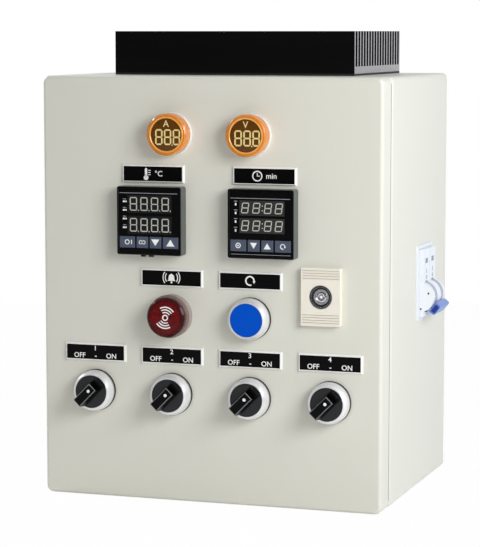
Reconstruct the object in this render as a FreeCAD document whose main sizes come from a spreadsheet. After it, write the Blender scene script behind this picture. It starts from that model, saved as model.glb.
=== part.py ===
import FreeCAD
import Part
import Sketcher
import os

# Oven control panel: a folded steel case with a hinged door, panel devices, a roof heat sink and a side breaker.
# Frame: origin in the middle of the case's underside, +X right, +Y to the back, +Z up, in millimetres.

SIZES = (
    # Case and door
    ("case_width", 250, "outside width of case and door"),
    ("case_height", 300, "outside height of case and door"),
    ("case_depth", 188, "front of door to back of case"),
    ("door_depth", 20, "depth of the door's folded edge"),
    ("seam_gap", 3.5, "gap between door edge and case"),
    ("sheet_gauge", 1.5, "steel sheet of case and door"),
    ("case_bend", 4, "outside radius of the case's folds"),
    ("door_bend", 2.5, "outside radius of the door's front folds"),
    ("door_corner", 5, "radius of the door's corners"),
    ("lip_width", 15, "case wall to the mouth"),
    ("foam_width", 10, "door foam, across"),
    ("foam_height", 5, "door foam, thickness"),
    ("foam_gap", 0.3, "rim to foam"),
    ("wall_hole_inset", 20, "wall holes from the case's edges"),
    ("wall_hole_radius", 3.5, "wall holes"),
    # Fits shared by all pieces
    ("hole_fit", 0.2, "round piece in a drilled hole, on the radius"),
    ("seat_fit", 0.1, "fixed piece on its neighbour"),
    ("slide_fit", 0.3, "moving piece beside its neighbour"),
    # Screws
    ("screw_radius", 2, "M4 shank"),
    ("screw_length", 6, "M4 shank"),
    ("screw_head_radius", 3.6, "pan head"),
    ("screw_head_height", 2.4, "pan head"),
    ("gland_screw_length", 4.3, "short screws of the gland plate"),
    # Mounting plate
    ("plate_side", 30, "case edge to mounting plate, each side"),
    ("plate_end", 25, "case edge to mounting plate, top and bottom"),
    ("plate_gauge", 2, "mounting plate"),
    ("plate_standoff", 10, "back wall to mounting plate"),
    ("stud_inset", 12, "studs from the plate's edges"),
    ("stud_radius", 3, "stud thread"),
    ("stud_shoulder", 5, "stud shoulder radius"),
    ("stud_tail", 3, "thread beyond the nut"),
    ("nut_radius", 5.8, "stud nut, to its corners"),
    ("nut_height", 5, "stud nut"),
    # Gland plate in the floor
    ("gland_opening_x", 130, "floor opening, across"),
    ("gland_opening_y", 56, "floor opening, deep"),
    ("gland_margin", 14, "plate past the opening"),
    ("gland_y", 36, "middle of the opening"),
    ("gland_gauge", 2, "gland plate"),
    ("gland_gasket", 1, "gasket under the gland plate"),
    ("entry_pitch", 42, "cable entries, across"),
    ("entry_radius", 9, "cable entry bore"),
    ("grommet_wall", 2.5, "rubber between bore and plate"),
    ("grommet_lip", 3, "lip past the plate's hole"),
    ("grommet_lip_height", 1.5, "lip thickness"),
    # Heat sink on the roof
    ("sink_length", 180, "along the fins"),
    ("sink_width", 125, "across the fins"),
    ("sink_height", 29.8, "base and fins"),
    ("sink_base", 5, "base plate"),
    ("sink_setback", 52, "door front to heat sink"),
    ("sink_gasket", 1.5, "gasket on the roof"),
    ("sink_screw_inset", 12, "screws from the heat sink's edges"),
    ("sink_hole_depth", 3.5, "threaded holes in the base"),
    ("fin_count", 18, "fins"),
    ("fin_gauge", 2.5, "fin thickness"),
    # Relays under the heat sink
    ("relay_width", 45, "across"),
    ("relay_length", 58, "front to back"),
    ("relay_height", 28, "body height"),
    ("relay_base", 4, "metal base under the screws"),
    ("relay_pitch", 80, "relay to relay"),
    ("relay_hole_pitch", 47.6, "fixing screws"),
    ("relay_notch_width", 9, "screw notch"),
    ("relay_notch_depth", 9.5, "screw notch"),
    ("relay_room", 6, "roof window past the relays"),
    ("relay_terminal_x", 14, "terminal screws from the middle"),
    ("relay_terminal_y", 21, "terminal screws from the middle"),
    # Breaker through the right wall
    ("breaker_setback", 98.5, "door front to breaker"),
    ("pole_width", 18, "one pole"),
    ("breaker_proud", 4.5, "face out of the wall"),
    ("breaker_nose", 49, "height of the nose"),
    ("breaker_nose_depth", 17, "nose to shoulders"),
    ("breaker_height", 84, "height of the body"),
    ("breaker_depth", 70, "face to rail"),
    ("breaker_edge", 1.2, "rounding of the nose"),
    ("breaker_groove", 0.6, "joint line between the poles"),
    ("breaker_room", 0.8, "wall cut-out past the nose"),
    ("clamp_hole_radius", 3, "terminal holes"),
    ("clamp_hole_depth", 9, "terminal holes"),
    ("clamp_hole_inset", 14, "terminal holes behind the shoulders"),
    ("hub_radius", 11, "rounded hub of the toggle"),
    ("hub_inset", 3.5, "hub axis behind the face"),
    ("hub_drop", 10, "hub axis below the middle"),
    ("toggle_slot", 7, "slot in the hub"),
    ("toggle_room", 1, "slot floor to the toggle's drum"),
    ("toggle_gap", 0.7, "handle over the hub"),
    ("toggle_reach", 16.5, "axis to handle end"),
    ("toggle_width", 27.5, "tie bar over both poles"),
    ("toggle_thickness", 8.5, "handle"),
    ("toggle_neck", 5, "neck from drum to handle"),
    ("toggle_edge", 1.5, "rounding of the handle"),
    ("toggle_rest", 38, "degrees below level at rest"),
    # Rails, terminals, ground bar and transformer
    ("rail_width", 35, "rail over its flanges"),
    ("rail_foot", 27, "rail at its foot"),
    ("rail_height", 7.5, "rail height"),
    ("rail_gauge", 1, "rail sheet"),
    ("rail_lip", 2, "device lips past the rail's flange"),
    ("breaker_rail_length", 50, "short rail under the breaker"),
    ("bracket_height", 40, "breaker bracket"),
    ("bracket_gauge", 2, "breaker bracket"),
    ("bracket_foot", 25, "bracket foot on the plate"),
    ("bracket_screw_pitch", 22, "bracket screws"),
    ("terminal_rise", 37, "terminal rail over the plate's low edge"),
    ("terminal_rail_inset", 11, "rail ends from the plate's edges"),
    ("terminal_rail_screw", 10, "rail screws from the rail's ends"),
    ("terminal_count", 10, "terminal blocks"),
    ("terminal_width", 8, "one terminal block"),
    ("terminal_gap", 0.2, "block to block"),
    ("terminal_height", 46, "terminal block"),
    ("terminal_depth", 40, "terminal block"),
    ("terminal_brow", 24, "height of the block's front"),
    ("terminal_shoulder", 20, "depth of the block's sides"),
    ("terminal_well_radius", 2.4, "screw wells"),
    ("terminal_well_depth", 5, "screw wells"),
    ("terminal_well_pitch", 14, "screw wells"),
    ("stop_width", 9, "end stop"),
    ("stop_height", 42, "end stop"),
    ("stop_depth", 26, "end stop"),
    ("ground_inset", 3, "ground bar from the plate's left edge"),
    ("ground_rise", 93, "ground bar over the plate's low edge"),
    ("ground_length", 80, "ground bar"),
    ("ground_height", 12, "ground bar"),
    ("ground_depth", 4, "ground bar"),
    ("ground_hole_radius", 2.2, "clamp holes"),
    ("ground_hole_pitch", 11, "clamp holes"),
    ("transformer_inset", 50, "current transformer from the plate's left edge"),
    ("transformer_rise", 145, "current transformer over the plate's low edge"),
    ("transformer_radius", 17, "ring"),
    ("transformer_bore", 7, "ring"),
    ("transformer_height", 16, "ring"),
    ("transformer_foot", 28, "foot width"),
    ("transformer_stand", 4, "ring off the plate"),
    # Hinges on the left
    ("hinge_inset", 60, "hinges from the door's ends"),
    ("hinge_length", 50, "one hinge"),
    ("hinge_radius", 3, "knuckle"),
    ("hinge_stand", 0.5, "knuckle off the wall"),
    ("hinge_gap", 0.6, "knuckle to knuckle"),
    ("hinge_leaf_gauge", 1.6, "leaf"),
    ("hinge_leaf", 28, "case leaf"),
    ("hinge_door_leaf", 16, "door leaf"),
    ("hinge_back", 0.4, "leaf from the pin's axis"),
    ("pin_radius", 1.5, "hinge pin"),
    ("pin_fit", 0.15, "pin in the door's knuckle"),
    ("pin_head_radius", 2.4, "pin head"),
    ("pin_head_height", 1.5, "pin head"),
    # Lock
    ("lock_inset", 42.5, "middle of the lock from the door's edge"),
    ("lock_width", 28, "lock plate"),
    ("lock_height", 40, "lock plate"),
    ("lock_thickness", 4.5, "lock plate"),
    ("lock_corner", 0.9, "lock plate"),
    ("lock_barrel", 10, "barrel radius"),
    ("lock_insert_radius", 8, "turning insert"),
    ("lock_insert_inset", 0.6, "insert behind the plate's face"),
    ("lock_recess", 8, "depth of the insert's recess"),
    ("lock_rim", 1.2, "insert's outer wall"),
    ("lock_sleeve", 5.4, "sleeve in the recess, radius"),
    ("lock_sleeve_wall", 1.1, "sleeve wall"),
    ("lock_pin", 1.7, "centre pin, radius"),
    ("lock_pin_inset", 1.2, "sleeve and pin behind the insert's face"),
    ("lock_groove", 0.8, "grip grooves, height"),
    ("lock_groove_depth", 0.6, "grip grooves, depth"),
    ("lock_groove_length", 26.4, "grip grooves"),
    ("lock_groove_first", 12.6, "first groove from the middle"),
    ("lock_groove_pitch", 1.8, "groove to groove"),
    ("lock_drive", 7, "square drive of the cam"),
    ("lock_clip_size", 28, "clip behind the door"),
    ("lock_clip_gauge", 1.5, "clip behind the door"),
    ("cam_gap", 0.5, "cam behind the case's lip"),
    ("cam_reach", 36, "cam length from the axis"),
    ("cam_tail", 8, "cam behind the axis"),
    ("cam_width", 14, "cam"),
    ("cam_gauge", 2.5, "cam"),
    ("cam_screw_depth", 7, "cam screw in the insert"),
    ("cam_head_radius", 5, "cam screw head"),
    ("cam_head_height", 2.5, "cam screw head"),
    # Columns of the door's devices, and their rows down from the door's top, each clear of the row above
    ("column_margin", 38, "outer columns from the door's edges"),
    ("column_shift", 1.7, "columns off the door's middle"),
    ("meter_drop", 40, "meters from the door's top"),
    ("meter_to_label", 6.6, "meters to the plates under them"),
    ("label_to_controller", 2, "plates to controllers"),
    ("controller_to_label", 10, "controllers to the plates under them"),
    ("label_to_button", 4.9, "plates to buzzer and push button"),
    ("button_to_label", 7.1, "buzzer and push button to the plates under them"),
    ("label_to_selector", 5.8, "plates to selectors"),
    ("controller_pitch", 82, "controller to controller"),
    ("label_width", 46.5, "legend plate"),
    ("label_height", 13, "legend plate"),
    ("label_thickness", 1.6, "legend plate"),
    ("label_bevel", 0.9, "legend plate's edge"),
    # Round devices
    ("barrel_radius", 11, "22 mm barrel"),
    ("barrel_tail", 18, "barrel behind the door's face"),
    ("seal_radius", 14.9, "sealing ring"),
    ("seal_height", 1.2, "sealing ring"),
    ("panel_nut_radius", 15.4, "panel nut, to its corners"),
    ("panel_nut_height", 4, "panel nut"),
    ("ring_radius", 14.6, "silver ring at its foot"),
    ("ring_foot", 4.6, "height of the ring's straight foot"),
    ("ring_flare", 1.5, "shoulder past the ring's top"),
    ("ring_crown", 2.3, "shoulder below the ring's top"),
    ("ring_round", 3.5, "rounding of foot and shoulder"),
    ("ring_lip", 0.5, "rounding of the ring's top edge"),
    ("ring_height", 10.5, "silver ring off the door"),
    ("ring_top", 12.5, "silver ring at its top"),
    ("ring_bore", 11.8, "bore of the ring"),
    ("ring_floor", 4, "floor of the ring's bore off the door"),
    ("ring_throat", 8, "bore of the barrel"),
    ("knob_proud", 0.2, "knob's disc over the ring"),
    ("knob_stem", 12, "stem behind the door's face"),
    ("handle_height", 9.5, "handle over the disc"),
    ("handle_back", 10.2, "handle behind the axis"),
    ("handle_front", 7, "handle before the axis"),
    ("handle_nose", 3.4, "low nose before the handle"),
    ("handle_nose_height", 4, "low nose"),
    ("handle_top", 6.6, "handle width at the top"),
    ("handle_foot", 9.2, "handle width at the disc"),
    ("handle_edge", 0.8, "rounding of the handle"),
    ("handle_turn", 45, "degrees from level at rest"),
    ("cap_travel", 4, "push button's travel"),
    ("cap_stem", 7, "stem behind the door's face"),
    ("block_width", 28, "contact block"),
    ("block_height", 38, "contact block"),
    ("block_depth", 22, "contact block"),
    ("block_well_radius", 2.6, "screw wells"),
    ("block_well_depth", 4, "screw wells"),
    ("block_well_x", 9, "screw wells"),
    ("block_well_z", 14, "screw wells"),
    ("meter_flange", 14.9, "meter's foot"),
    ("meter_flange_height", 2.6, "meter's foot"),
    ("meter_tail", 26, "meter behind the door's face"),
    ("meter_lens", 14.6, "meter's lens"),
    ("meter_lens_height", 11.8, "meter's lens off the door"),
    ("meter_window", 11.5, "window of the lens"),
    ("meter_window_depth", 0.6, "window of the lens"),
    ("meter_lens_edge", 1, "bevel of the lens"),
    ("alarm_radius", 15, "buzzer's base"),
    ("alarm_base_height", 11.4, "buzzer's base"),
    ("alarm_lens", 14, "buzzer's lens"),
    ("alarm_height", 14.6, "buzzer off the door"),
    ("alarm_edge", 1.2, "bevel of the lens"),
    ("alarm_tail", 24, "buzzer behind the door's face"),
    # Controllers
    ("controller_size", 48, "front of a controller"),
    ("controller_proud", 10, "front off the door"),
    ("controller_corner", 1.5, "front's corners"),
    ("controller_edge", 0.8, "front's edge"),
    ("controller_rear", 44.8, "case behind the door"),
    ("controller_tail", 82, "case behind the door"),
    ("face_size", 45, "front plate"),
    ("face_thickness", 1.6, "front plate"),
    ("face_inset", 0.2, "front plate behind the frame"),
    ("key_height", 8, "keys"),
    ("key_drop", 15, "keys below the middle"),
    ("key_outer", 11.4, "outer keys"),
    ("key_inner", 8.6, "inner keys"),
    ("key_pitch_gap", 1.2, "key to key"),
    ("key_proud", 0.3, "keys off the front plate"),
    ("key_thickness", 2.2, "keys"),
    ("key_edge", 0.35, "rounding of the keys"),
    ("key_travel", 0.5, "travel of a key"),
    ("key_room", 0.6, "room behind a pressed key"),
    ("bracket_frame", 54, "bracket behind a controller"),
    ("bracket_frame_depth", 8, "bracket behind a controller"),
)

doc = FreeCAD.newDocument("oven_control_panel")
sheet = doc.addObject("Spreadsheet::Sheet", "sizes")
for row, (alias, number, words) in enumerate(SIZES, 1):
    sheet.set("A%d" % row, words)
    sheet.set("B%d" % row, str(number))
    sheet.setAlias("B%d" % row, alias)
doc.recompute()


class Dim:
    """A length: its number now, and the same sum over the sheet's cells as an expression."""

    def __init__(self, number, formula):
        self.number = number
        self.formula = formula

    def __add__(self, other):
        other = dim(other)
        return Dim(self.number + other.number, "(%s + %s)" % (self.formula, other.formula))

    def __sub__(self, other):
        other = dim(other)
        return Dim(self.number - other.number, "(%s - %s)" % (self.formula, other.formula))

    def __mul__(self, other):
        other = dim(other)
        return Dim(self.number * other.number, "(%s * %s)" % (self.formula, other.formula))

    def __truediv__(self, other):
        other = dim(other)
        return Dim(self.number / other.number, "(%s / %s)" % (self.formula, other.formula))

    def __neg__(self):
        return Dim(-self.number, "(0 - %s)" % self.formula)

    def __radd__(self, other):
        return dim(other) + self

    def __rsub__(self, other):
        return dim(other) - self

    def __rmul__(self, other):
        return dim(other) * self


def dim(value):
    if isinstance(value, Dim):
        return value
    return Dim(float(value), "(%r)" % float(value))


class Sizes:
    """Every cell of the sheet by its alias."""


s = Sizes()
for alias, number, words in SIZES:
    setattr(s, alias, Dim(float(sheet.get(alias)), "sizes." + alias))

# Helpers

PARTS = []


def bind(obj, prop, value):
    obj.setExpression(prop, dim(value).formula)


def place(obj, at=(0, 0, 0), axis=None, turn=0):
    """Put an object at a point, turned by so many degrees about an axis."""
    if axis is not None:
        rotation = FreeCAD.Rotation(FreeCAD.Vector(*axis), dim(turn).number)
        obj.Placement = FreeCAD.Placement(FreeCAD.Vector(), rotation)
        if isinstance(turn, Dim):
            obj.setExpression("Placement.Rotation.Angle", turn.formula + " * 1 deg")
    for letter, value in zip("xyz", at):
        bind(obj, "Placement.Base." + letter, value)


def keep(obj):
    """Count an object as a sub-part of its own."""
    obj.Label = obj.Name
    PARTS.append(obj)
    return obj


def new_body(name, at=(0, 0, 0), axis=None, turn=0):
    body = doc.addObject("PartDesign::Body", name)
    place(body, at, axis, turn)
    return body


def box_loop(left, low, right, high):
    return [(left, low), (right, low), (right, high), (left, high)]


def middle_loop(width, height, x=0, y=0):
    x, y = dim(x), dim(y)
    return box_loop(x - dim(width) / 2, y - dim(height) / 2, x + dim(width) / 2, y + dim(height) / 2)


def pin_point(geometry, corner, u, v):
    """Constraints, with their sizes, that hold a point at (u, v) from the sketch's origin."""
    held = []
    for kind, axis_line, value in (("DistanceX", -2, u), ("DistanceY", -1, v)):
        if value.number == 0:
            held.append((Sketcher.Constraint("PointOnObject", geometry, corner, axis_line), None))
        else:
            held.append((Sketcher.Constraint(kind, -1, 1, geometry, corner, value.number), value))
    return held


def sketch(body, name, plane, level, loops):
    """Closed loops on one of the body's planes, at a level along the third axis.

    A loop is a list of corners, or (x, y, radius) for a circle.
    """
    drawing = body.newObject("Sketcher::SketchObject", body.Name + "_" + name)
    role = plane + "_Plane"
    drawing.AttachmentSupport = [(next(f for f in body.Origin.OriginFeatures if f.Role == role), "")]
    drawing.MapMode = "FlatFace"
    level = dim(level)
    bind(drawing, "AttachmentOffset.Base.z", -level if plane == "XZ" else level)
    held = []
    for loop in loops:
        if isinstance(loop, tuple):
            x, y, radius = [dim(value) for value in loop]
            centre = FreeCAD.Vector(x.number, y.number, 0)
            circle = drawing.addGeometry(Part.Circle(centre, FreeCAD.Vector(0, 0, 1), radius.number), False)
            held += pin_point(circle, 3, x, y)
            held.append((Sketcher.Constraint("Radius", circle, radius.number), radius))
            continue
        corners = [(dim(u), dim(v)) for u, v in loop]
        points = [FreeCAD.Vector(u.number, v.number, 0) for u, v in corners]
        lines = [Part.LineSegment(a, b) for a, b in zip(points, points[1:] + points[:1])]
        ids = list(drawing.addGeometry(lines, False))
        for a, b in zip(ids, ids[1:] + ids[:1]):
            held.append((Sketcher.Constraint("Coincident", a, 2, b, 1), None))
        for line, (u, v) in zip(ids, corners):
            held += pin_point(line, 1, u, v)
    first = drawing.ConstraintCount
    drawing.addConstraint([constraint for constraint, value in held])
    for index, (constraint, value) in enumerate(held, first):
        if value is not None:
            bind(drawing, "Constraints[%d]" % index, value)
    return drawing


def feature(kind, body, name, drawing, length, flip):
    made = body.newObject("PartDesign::" + kind, body.Name + "_" + name)
    made.Profile = drawing
    made.Reversed = flip
    bind(made, "Length", length)
    return made


def pad(body, name, plane, level, loops, length, flip=False):
    """Add a prism: towards -Y from XZ, +Z from XY, +X from YZ, or the other way if flipped."""
    return feature("Pad", body, name, sketch(body, name + "_sketch", plane, level, loops), length, flip)


def pocket(body, name, plane, level, loops, length, flip=False):
    """Cut a prism: towards +Y from XZ, -Z from XY, -X from YZ, or the other way if flipped."""
    return feature("Pocket", body, name, sketch(body, name + "_sketch", plane, level, loops), length, flip)


def revolve(body, name, plane, profile):
    """Turn a (radius, height) profile about the body's own Y axis (plane XY) or Z axis (plane XZ)."""
    drawing = sketch(body, name + "_sketch", plane, 0, [profile])
    made = body.newObject("PartDesign::Revolution", body.Name + "_" + name)
    made.Profile = drawing
    made.ReferenceAxis = (drawing, ["V_Axis"])
    made.Angle = 360
    return made


def runs_along(edge, axis):
    if edge.Degenerated or not isinstance(edge.Curve, Part.Line):
        return False
    return abs(getattr(edge.Curve.Direction, axis)) > 0.999


def lies_at(edge, axis, value):
    """Whether an edge lies wholly at one value of an axis."""
    if edge.Degenerated:
        return False
    box, value = edge.BoundBox, dim(value).number
    low, high = getattr(box, axis.upper() + "Min"), getattr(box, axis.upper() + "Max")
    return abs(low - value) < 0.01 and abs(high - value) < 0.01


def beside(edge, x):
    """Whether an edge lies at x on the left or the right."""
    return lies_at(edge, "x", x) or lies_at(edge, "x", -x)


def fillet(body, name, radius, wanted):
    """Round every edge of the body so far that the test picks."""
    doc.recompute()
    base = body.Tip
    edges = ["Edge%d" % i for i, edge in enumerate(base.Shape.Edges, 1) if wanted(edge)]
    made = body.newObject("PartDesign::Fillet", body.Name + "_" + name)
    made.Base = (base, edges)
    bind(made, "Radius", radius)
    return made


def copies(name, master, places):
    """One sub-part of equal, separate solids: the master at each place, given as (point, axis, turn)."""
    links = []
    for index, (at, axis, turn) in enumerate(places, 1):
        link = doc.addObject("App::Link", "%s_%d" % (name, index))
        link.LinkedObject = master
        place(link, at, axis, turn)
        links.append(link)
    group = doc.addObject("Part::Compound", name)
    group.Links = links
    return keep(group)


def upright(points):
    return [(point, None, 0) for point in points]


def hex_nut(name, corner_radius, height, bore):
    """A hexagon nut on the Z axis, standing on the origin."""
    prism = doc.addObject("Part::Prism", name + "_prism")
    prism.Polygon = 6
    bind(prism, "Circumradius", corner_radius)
    bind(prism, "Height", height)
    hole = doc.addObject("Part::Cylinder", name + "_hole")
    bind(hole, "Radius", bore)
    bind(hole, "Height", height)
    nut = doc.addObject("Part::Cut", name)
    nut.Base = prism
    nut.Tool = hole
    return nut


# Places that several pieces share

half_width = s.case_width / 2
middle_z = s.case_height / 2
case_front = -s.case_depth / 2
case_back = s.case_depth / 2
back_inside = case_back - s.sheet_gauge
door_back = case_front + s.door_depth
door_inside = case_front + s.sheet_gauge
box_front = door_back + s.seam_gap
mouth_x = half_width - s.lip_width
mouth_low = s.lip_width
mouth_high = s.case_height - s.lip_width
rim_front = door_inside + s.foam_height + s.foam_gap
plate_back = back_inside - s.plate_standoff
plate_front = plate_back - s.plate_gauge
screw_hole = s.screw_radius + s.hole_fit
sink_floor = s.case_height + s.sink_gasket
sink_front = case_front + s.sink_setback
sink_middle = sink_front + s.sink_width / 2
breaker_near = case_front + s.breaker_setback
breaker_middle = breaker_near + s.pole_width
breaker_face = half_width + s.breaker_proud
rail_face = breaker_face - s.breaker_depth
bracket_face = rail_face - s.rail_height
bracket_back = bracket_face - s.bracket_gauge
hinge_x = -(half_width + s.hinge_radius + s.hinge_stand)
hinge_y = (door_back + box_front) / 2
panel_hole = s.barrel_radius + s.hole_fit

column_pitch = (s.case_width - s.column_margin * 2) / 3
column = [s.column_shift + column_pitch * (n - 1.5) for n in range(4)]
half_label = s.label_height / 2
half_controller = s.controller_size / 2
meter_row = s.case_height - s.meter_drop
controller_label_row = meter_row - s.meter_flange - s.meter_to_label - half_label
controller_row = controller_label_row - half_label - s.label_to_controller - half_controller
button_label_row = controller_row - half_controller - s.controller_to_label - half_label
button_row = button_label_row - half_label - s.label_to_button - s.alarm_radius
selector_label_row = button_row - s.alarm_radius - s.button_to_label - half_label
selector_row = selector_label_row - half_label - s.label_to_selector - s.seal_radius
selector_places = [(x, case_front, selector_row) for x in column]
alarm_place = (column[1], case_front, button_row)
reset_place = (column[2], case_front, button_row)
meter_places = [(column[1], case_front, meter_row), (column[2], case_front, meter_row)]
controller_places = [(-s.controller_pitch / 2, case_front, controller_row),
                     (s.controller_pitch / 2, case_front, controller_row)]
switch_places = selector_places + [reset_place]
round_places = switch_places + [alarm_place] + meter_places


def four(pitch_x, pitch_y, x=0, y=0):
    """Corners of a rectangle of holes about a middle."""
    x, y = dim(x), dim(y)
    return [(x + pitch_x * i / 2, y + pitch_y * j / 2) for i in (-1, 1) for j in (-1, 1)]


plate_width = s.case_width - s.plate_side * 2
plate_height = s.case_height - s.plate_end * 2
plate_left = -plate_width / 2
terminal_z = s.plate_end + s.terminal_rise
rail_length = plate_width - s.terminal_rail_inset * 2
rail_screw_pitch = rail_length - s.terminal_rail_screw * 2
ground_x = plate_left + s.ground_inset + s.ground_length / 2
ground_z = s.plate_end + s.ground_rise
lock_x = half_width - s.lock_inset
stud_corners = four(plate_width - s.stud_inset * 2, plate_height - s.stud_inset * 2, 0, middle_z)
wall_corners = four(s.case_width - s.wall_hole_inset * 2, s.case_height - s.wall_hole_inset * 2, 0, middle_z)
gland_corners = four(s.gland_opening_x + s.gland_margin, s.gland_opening_y + s.gland_margin, 0, s.gland_y)
sink_corners = four(s.sink_length - s.sink_screw_inset * 2, s.sink_width - s.sink_screw_inset * 2, 0, sink_middle)
relay_middles = [-s.relay_pitch / 2, s.relay_pitch / 2]
relay_screws = [(x, sink_middle + s.relay_hole_pitch * j / 2) for x in relay_middles for j in (-1, 1)]
relay_window = middle_loop(s.relay_pitch + s.relay_width + s.relay_room * 2,
                           s.relay_length + s.relay_room * 2, 0, sink_middle)
bracket_screws = [(bracket_back - s.bracket_foot / 2, middle_z + s.bracket_screw_pitch * j / 2) for j in (-1, 1)]
rail_screws = [(rail_screw_pitch * i / 2, terminal_z) for i in (-1, 1)]
ground_ends = s.ground_length - s.ground_height
ground_screws = [(ground_x + ground_ends * i / 2, ground_z) for i in (-1, 1)]
plate_screws = bracket_screws + rail_screws + ground_screws


def holes(points, radius):
    return [(x, y, radius) for x, y in points]


# Case

case = new_body("enclosure_body")
inside_x = half_width - s.sheet_gauge
inside_high = s.case_height - s.sheet_gauge
pad(case, "block", "XZ", case_back, [box_loop(-half_width, 0, half_width, s.case_height)], case_back - box_front)
pocket(case, "cavity", "XZ", back_inside, [box_loop(-inside_x, s.sheet_gauge, inside_x, inside_high)],
       back_inside - box_front - s.sheet_gauge, flip=True)
mouth = box_loop(-mouth_x, mouth_low, mouth_x, mouth_high)
rim_outline = box_loop(-mouth_x - s.sheet_gauge, mouth_low - s.sheet_gauge,
                       mouth_x + s.sheet_gauge, mouth_high + s.sheet_gauge)
flange_back = box_front + s.sheet_gauge
fillet(case, "inner_bends", s.case_bend - s.sheet_gauge,
       lambda e: ((runs_along(e, "y") and beside(e, inside_x)) or lies_at(e, "y", back_inside)
                  or lies_at(e, "y", flange_back)))
fillet(case, "bends", s.case_bend,
       lambda e: ((runs_along(e, "y") and beside(e, half_width)) or lies_at(e, "y", case_back)
                  or lies_at(e, "y", box_front)))
pocket(case, "mouth", "XZ", box_front, [mouth], s.sheet_gauge)
pad(case, "rim", "XZ", box_front, [rim_outline, mouth], box_front - rim_front)
pocket(case, "roof_window", "XY", s.case_height, [relay_window] + holes(sink_corners, screw_hole), s.sheet_gauge)
gland_opening = middle_loop(s.gland_opening_x, s.gland_opening_y, 0, s.gland_y)
pocket(case, "floor_opening", "XY", 0, [gland_opening] + holes(gland_corners, screw_hole), s.sheet_gauge, flip=True)
pocket(case, "breaker_window", "YZ", half_width,
       [middle_loop(s.pole_width * 2 + s.slide_fit * 2, s.breaker_nose + s.breaker_room * 2,
                    breaker_middle, middle_z)], s.sheet_gauge)
pocket(case, "wall_holes", "XZ", case_back, holes(wall_corners, s.wall_hole_radius), s.sheet_gauge, flip=True)
keep(case)

# Mounting plate on its studs

plate = new_body("mounting_plate")
pad(plate, "sheet", "XZ", plate_back,
    [middle_loop(plate_width, plate_height, 0, middle_z)]
    + holes(stud_corners, s.stud_radius + s.hole_fit) + holes(plate_screws, screw_hole), s.plate_gauge)
keep(plate)

stud = new_body("plate_stud")
stud_end = -(s.plate_standoff + s.plate_gauge + s.nut_height + s.stud_tail)
revolve(stud, "turned", "XY", [(0, 0), (s.stud_shoulder, 0), (s.stud_shoulder, -s.plate_standoff),
                               (s.stud_radius, -s.plate_standoff), (s.stud_radius, stud_end), (0, stud_end)])
copies("plate_studs", stud, upright([(x, back_inside, z) for x, z in stud_corners]))
stud_nut = hex_nut("plate_nut", s.nut_radius, s.nut_height, s.stud_radius + s.seat_fit)
copies("plate_nuts", stud_nut, [((x, plate_front, z), (1, 0, 0), 90) for x, z in stud_corners])

# Gland plate with its cable entries

gland_low = s.sheet_gauge + s.gland_gasket
gland_outline = middle_loop(s.gland_opening_x + s.gland_margin * 2,
                            s.gland_opening_y + s.gland_margin * 2, 0, s.gland_y)
entry_places = [(s.entry_pitch * n, s.gland_y) for n in (-1, 0, 1)]
grommet_neck = s.entry_radius + s.grommet_wall
gasket = new_body("gland_gasket")
pad(gasket, "sheet", "XY", s.sheet_gauge, [gland_outline, gland_opening] + holes(gland_corners, screw_hole),
    s.gland_gasket)
keep(gasket)
gland = new_body("gland_plate")
pad(gland, "sheet", "XY", gland_low,
    [gland_outline] + holes(entry_places, grommet_neck + s.seat_fit) + holes(gland_corners, screw_hole), s.gland_gauge)
keep(gland)
grommet = new_body("cable_grommet")
grommet_lip = grommet_neck + s.grommet_lip
grommet_top = s.gland_gauge + s.grommet_lip_height
revolve(grommet, "turned", "XZ", [(s.entry_radius, -s.grommet_lip_height), (grommet_lip, -s.grommet_lip_height),
                                  (grommet_lip, 0), (grommet_neck, 0), (grommet_neck, s.gland_gauge),
                                  (grommet_lip, s.gland_gauge), (grommet_lip, grommet_top),
                                  (s.entry_radius, grommet_top)])
copies("cable_grommets", grommet, upright([(x, y, gland_low) for x, y in entry_places]))


def pan_screw(name, length):
    """A pan-head screw on the Z axis: head above the origin, shank below it."""
    screw = new_body(name)
    revolve(screw, "turned", "XZ", [(0, -length), (s.screw_radius, -length), (s.screw_radius, 0),
                                    (s.screw_head_radius, 0), (s.screw_head_radius, s.screw_head_height / 2),
                                    (s.screw_head_radius - s.screw_head_height / 2, s.screw_head_height),
                                    (0, s.screw_head_height)])
    return screw


copies("gland_screws", pan_screw("gland_screw", s.gland_screw_length),
       upright([(x, y, gland_low + s.gland_gauge) for x, y in gland_corners]))

# Heat sink, its gasket and the relays that hang from it

sink_gasket = new_body("heat_sink_gasket")
sink_outline = middle_loop(s.sink_length, s.sink_width, 0, sink_middle)
pad(sink_gasket, "sheet", "XY", s.case_height, [sink_outline, relay_window] + holes(sink_corners, screw_hole),
    s.sink_gasket)
keep(sink_gasket)

sink = new_body("heat_sink")
pad(sink, "base", "XY", sink_floor, [sink_outline], s.sink_base)
fin = pad(sink, "fin", "XY", sink_floor + s.sink_base,
          [box_loop(-s.sink_length / 2, sink_front, s.sink_length / 2, sink_front + s.fin_gauge)],
          s.sink_height - s.sink_base)
fins = sink.newObject("PartDesign::LinearPattern", "heat_sink_fins")
fins.Originals = [fin]
fins.Direction = (next(f for f in sink.Origin.OriginFeatures if f.Role == "Y_Axis"), [""])
bind(fins, "Length", s.sink_width - s.fin_gauge)
bind(fins, "Occurrences", s.fin_count)
sink.Tip = fins
pocket(sink, "holes", "XY", sink_floor, holes(sink_corners + relay_screws, screw_hole), s.sink_hole_depth, flip=True)
keep(sink)

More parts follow.
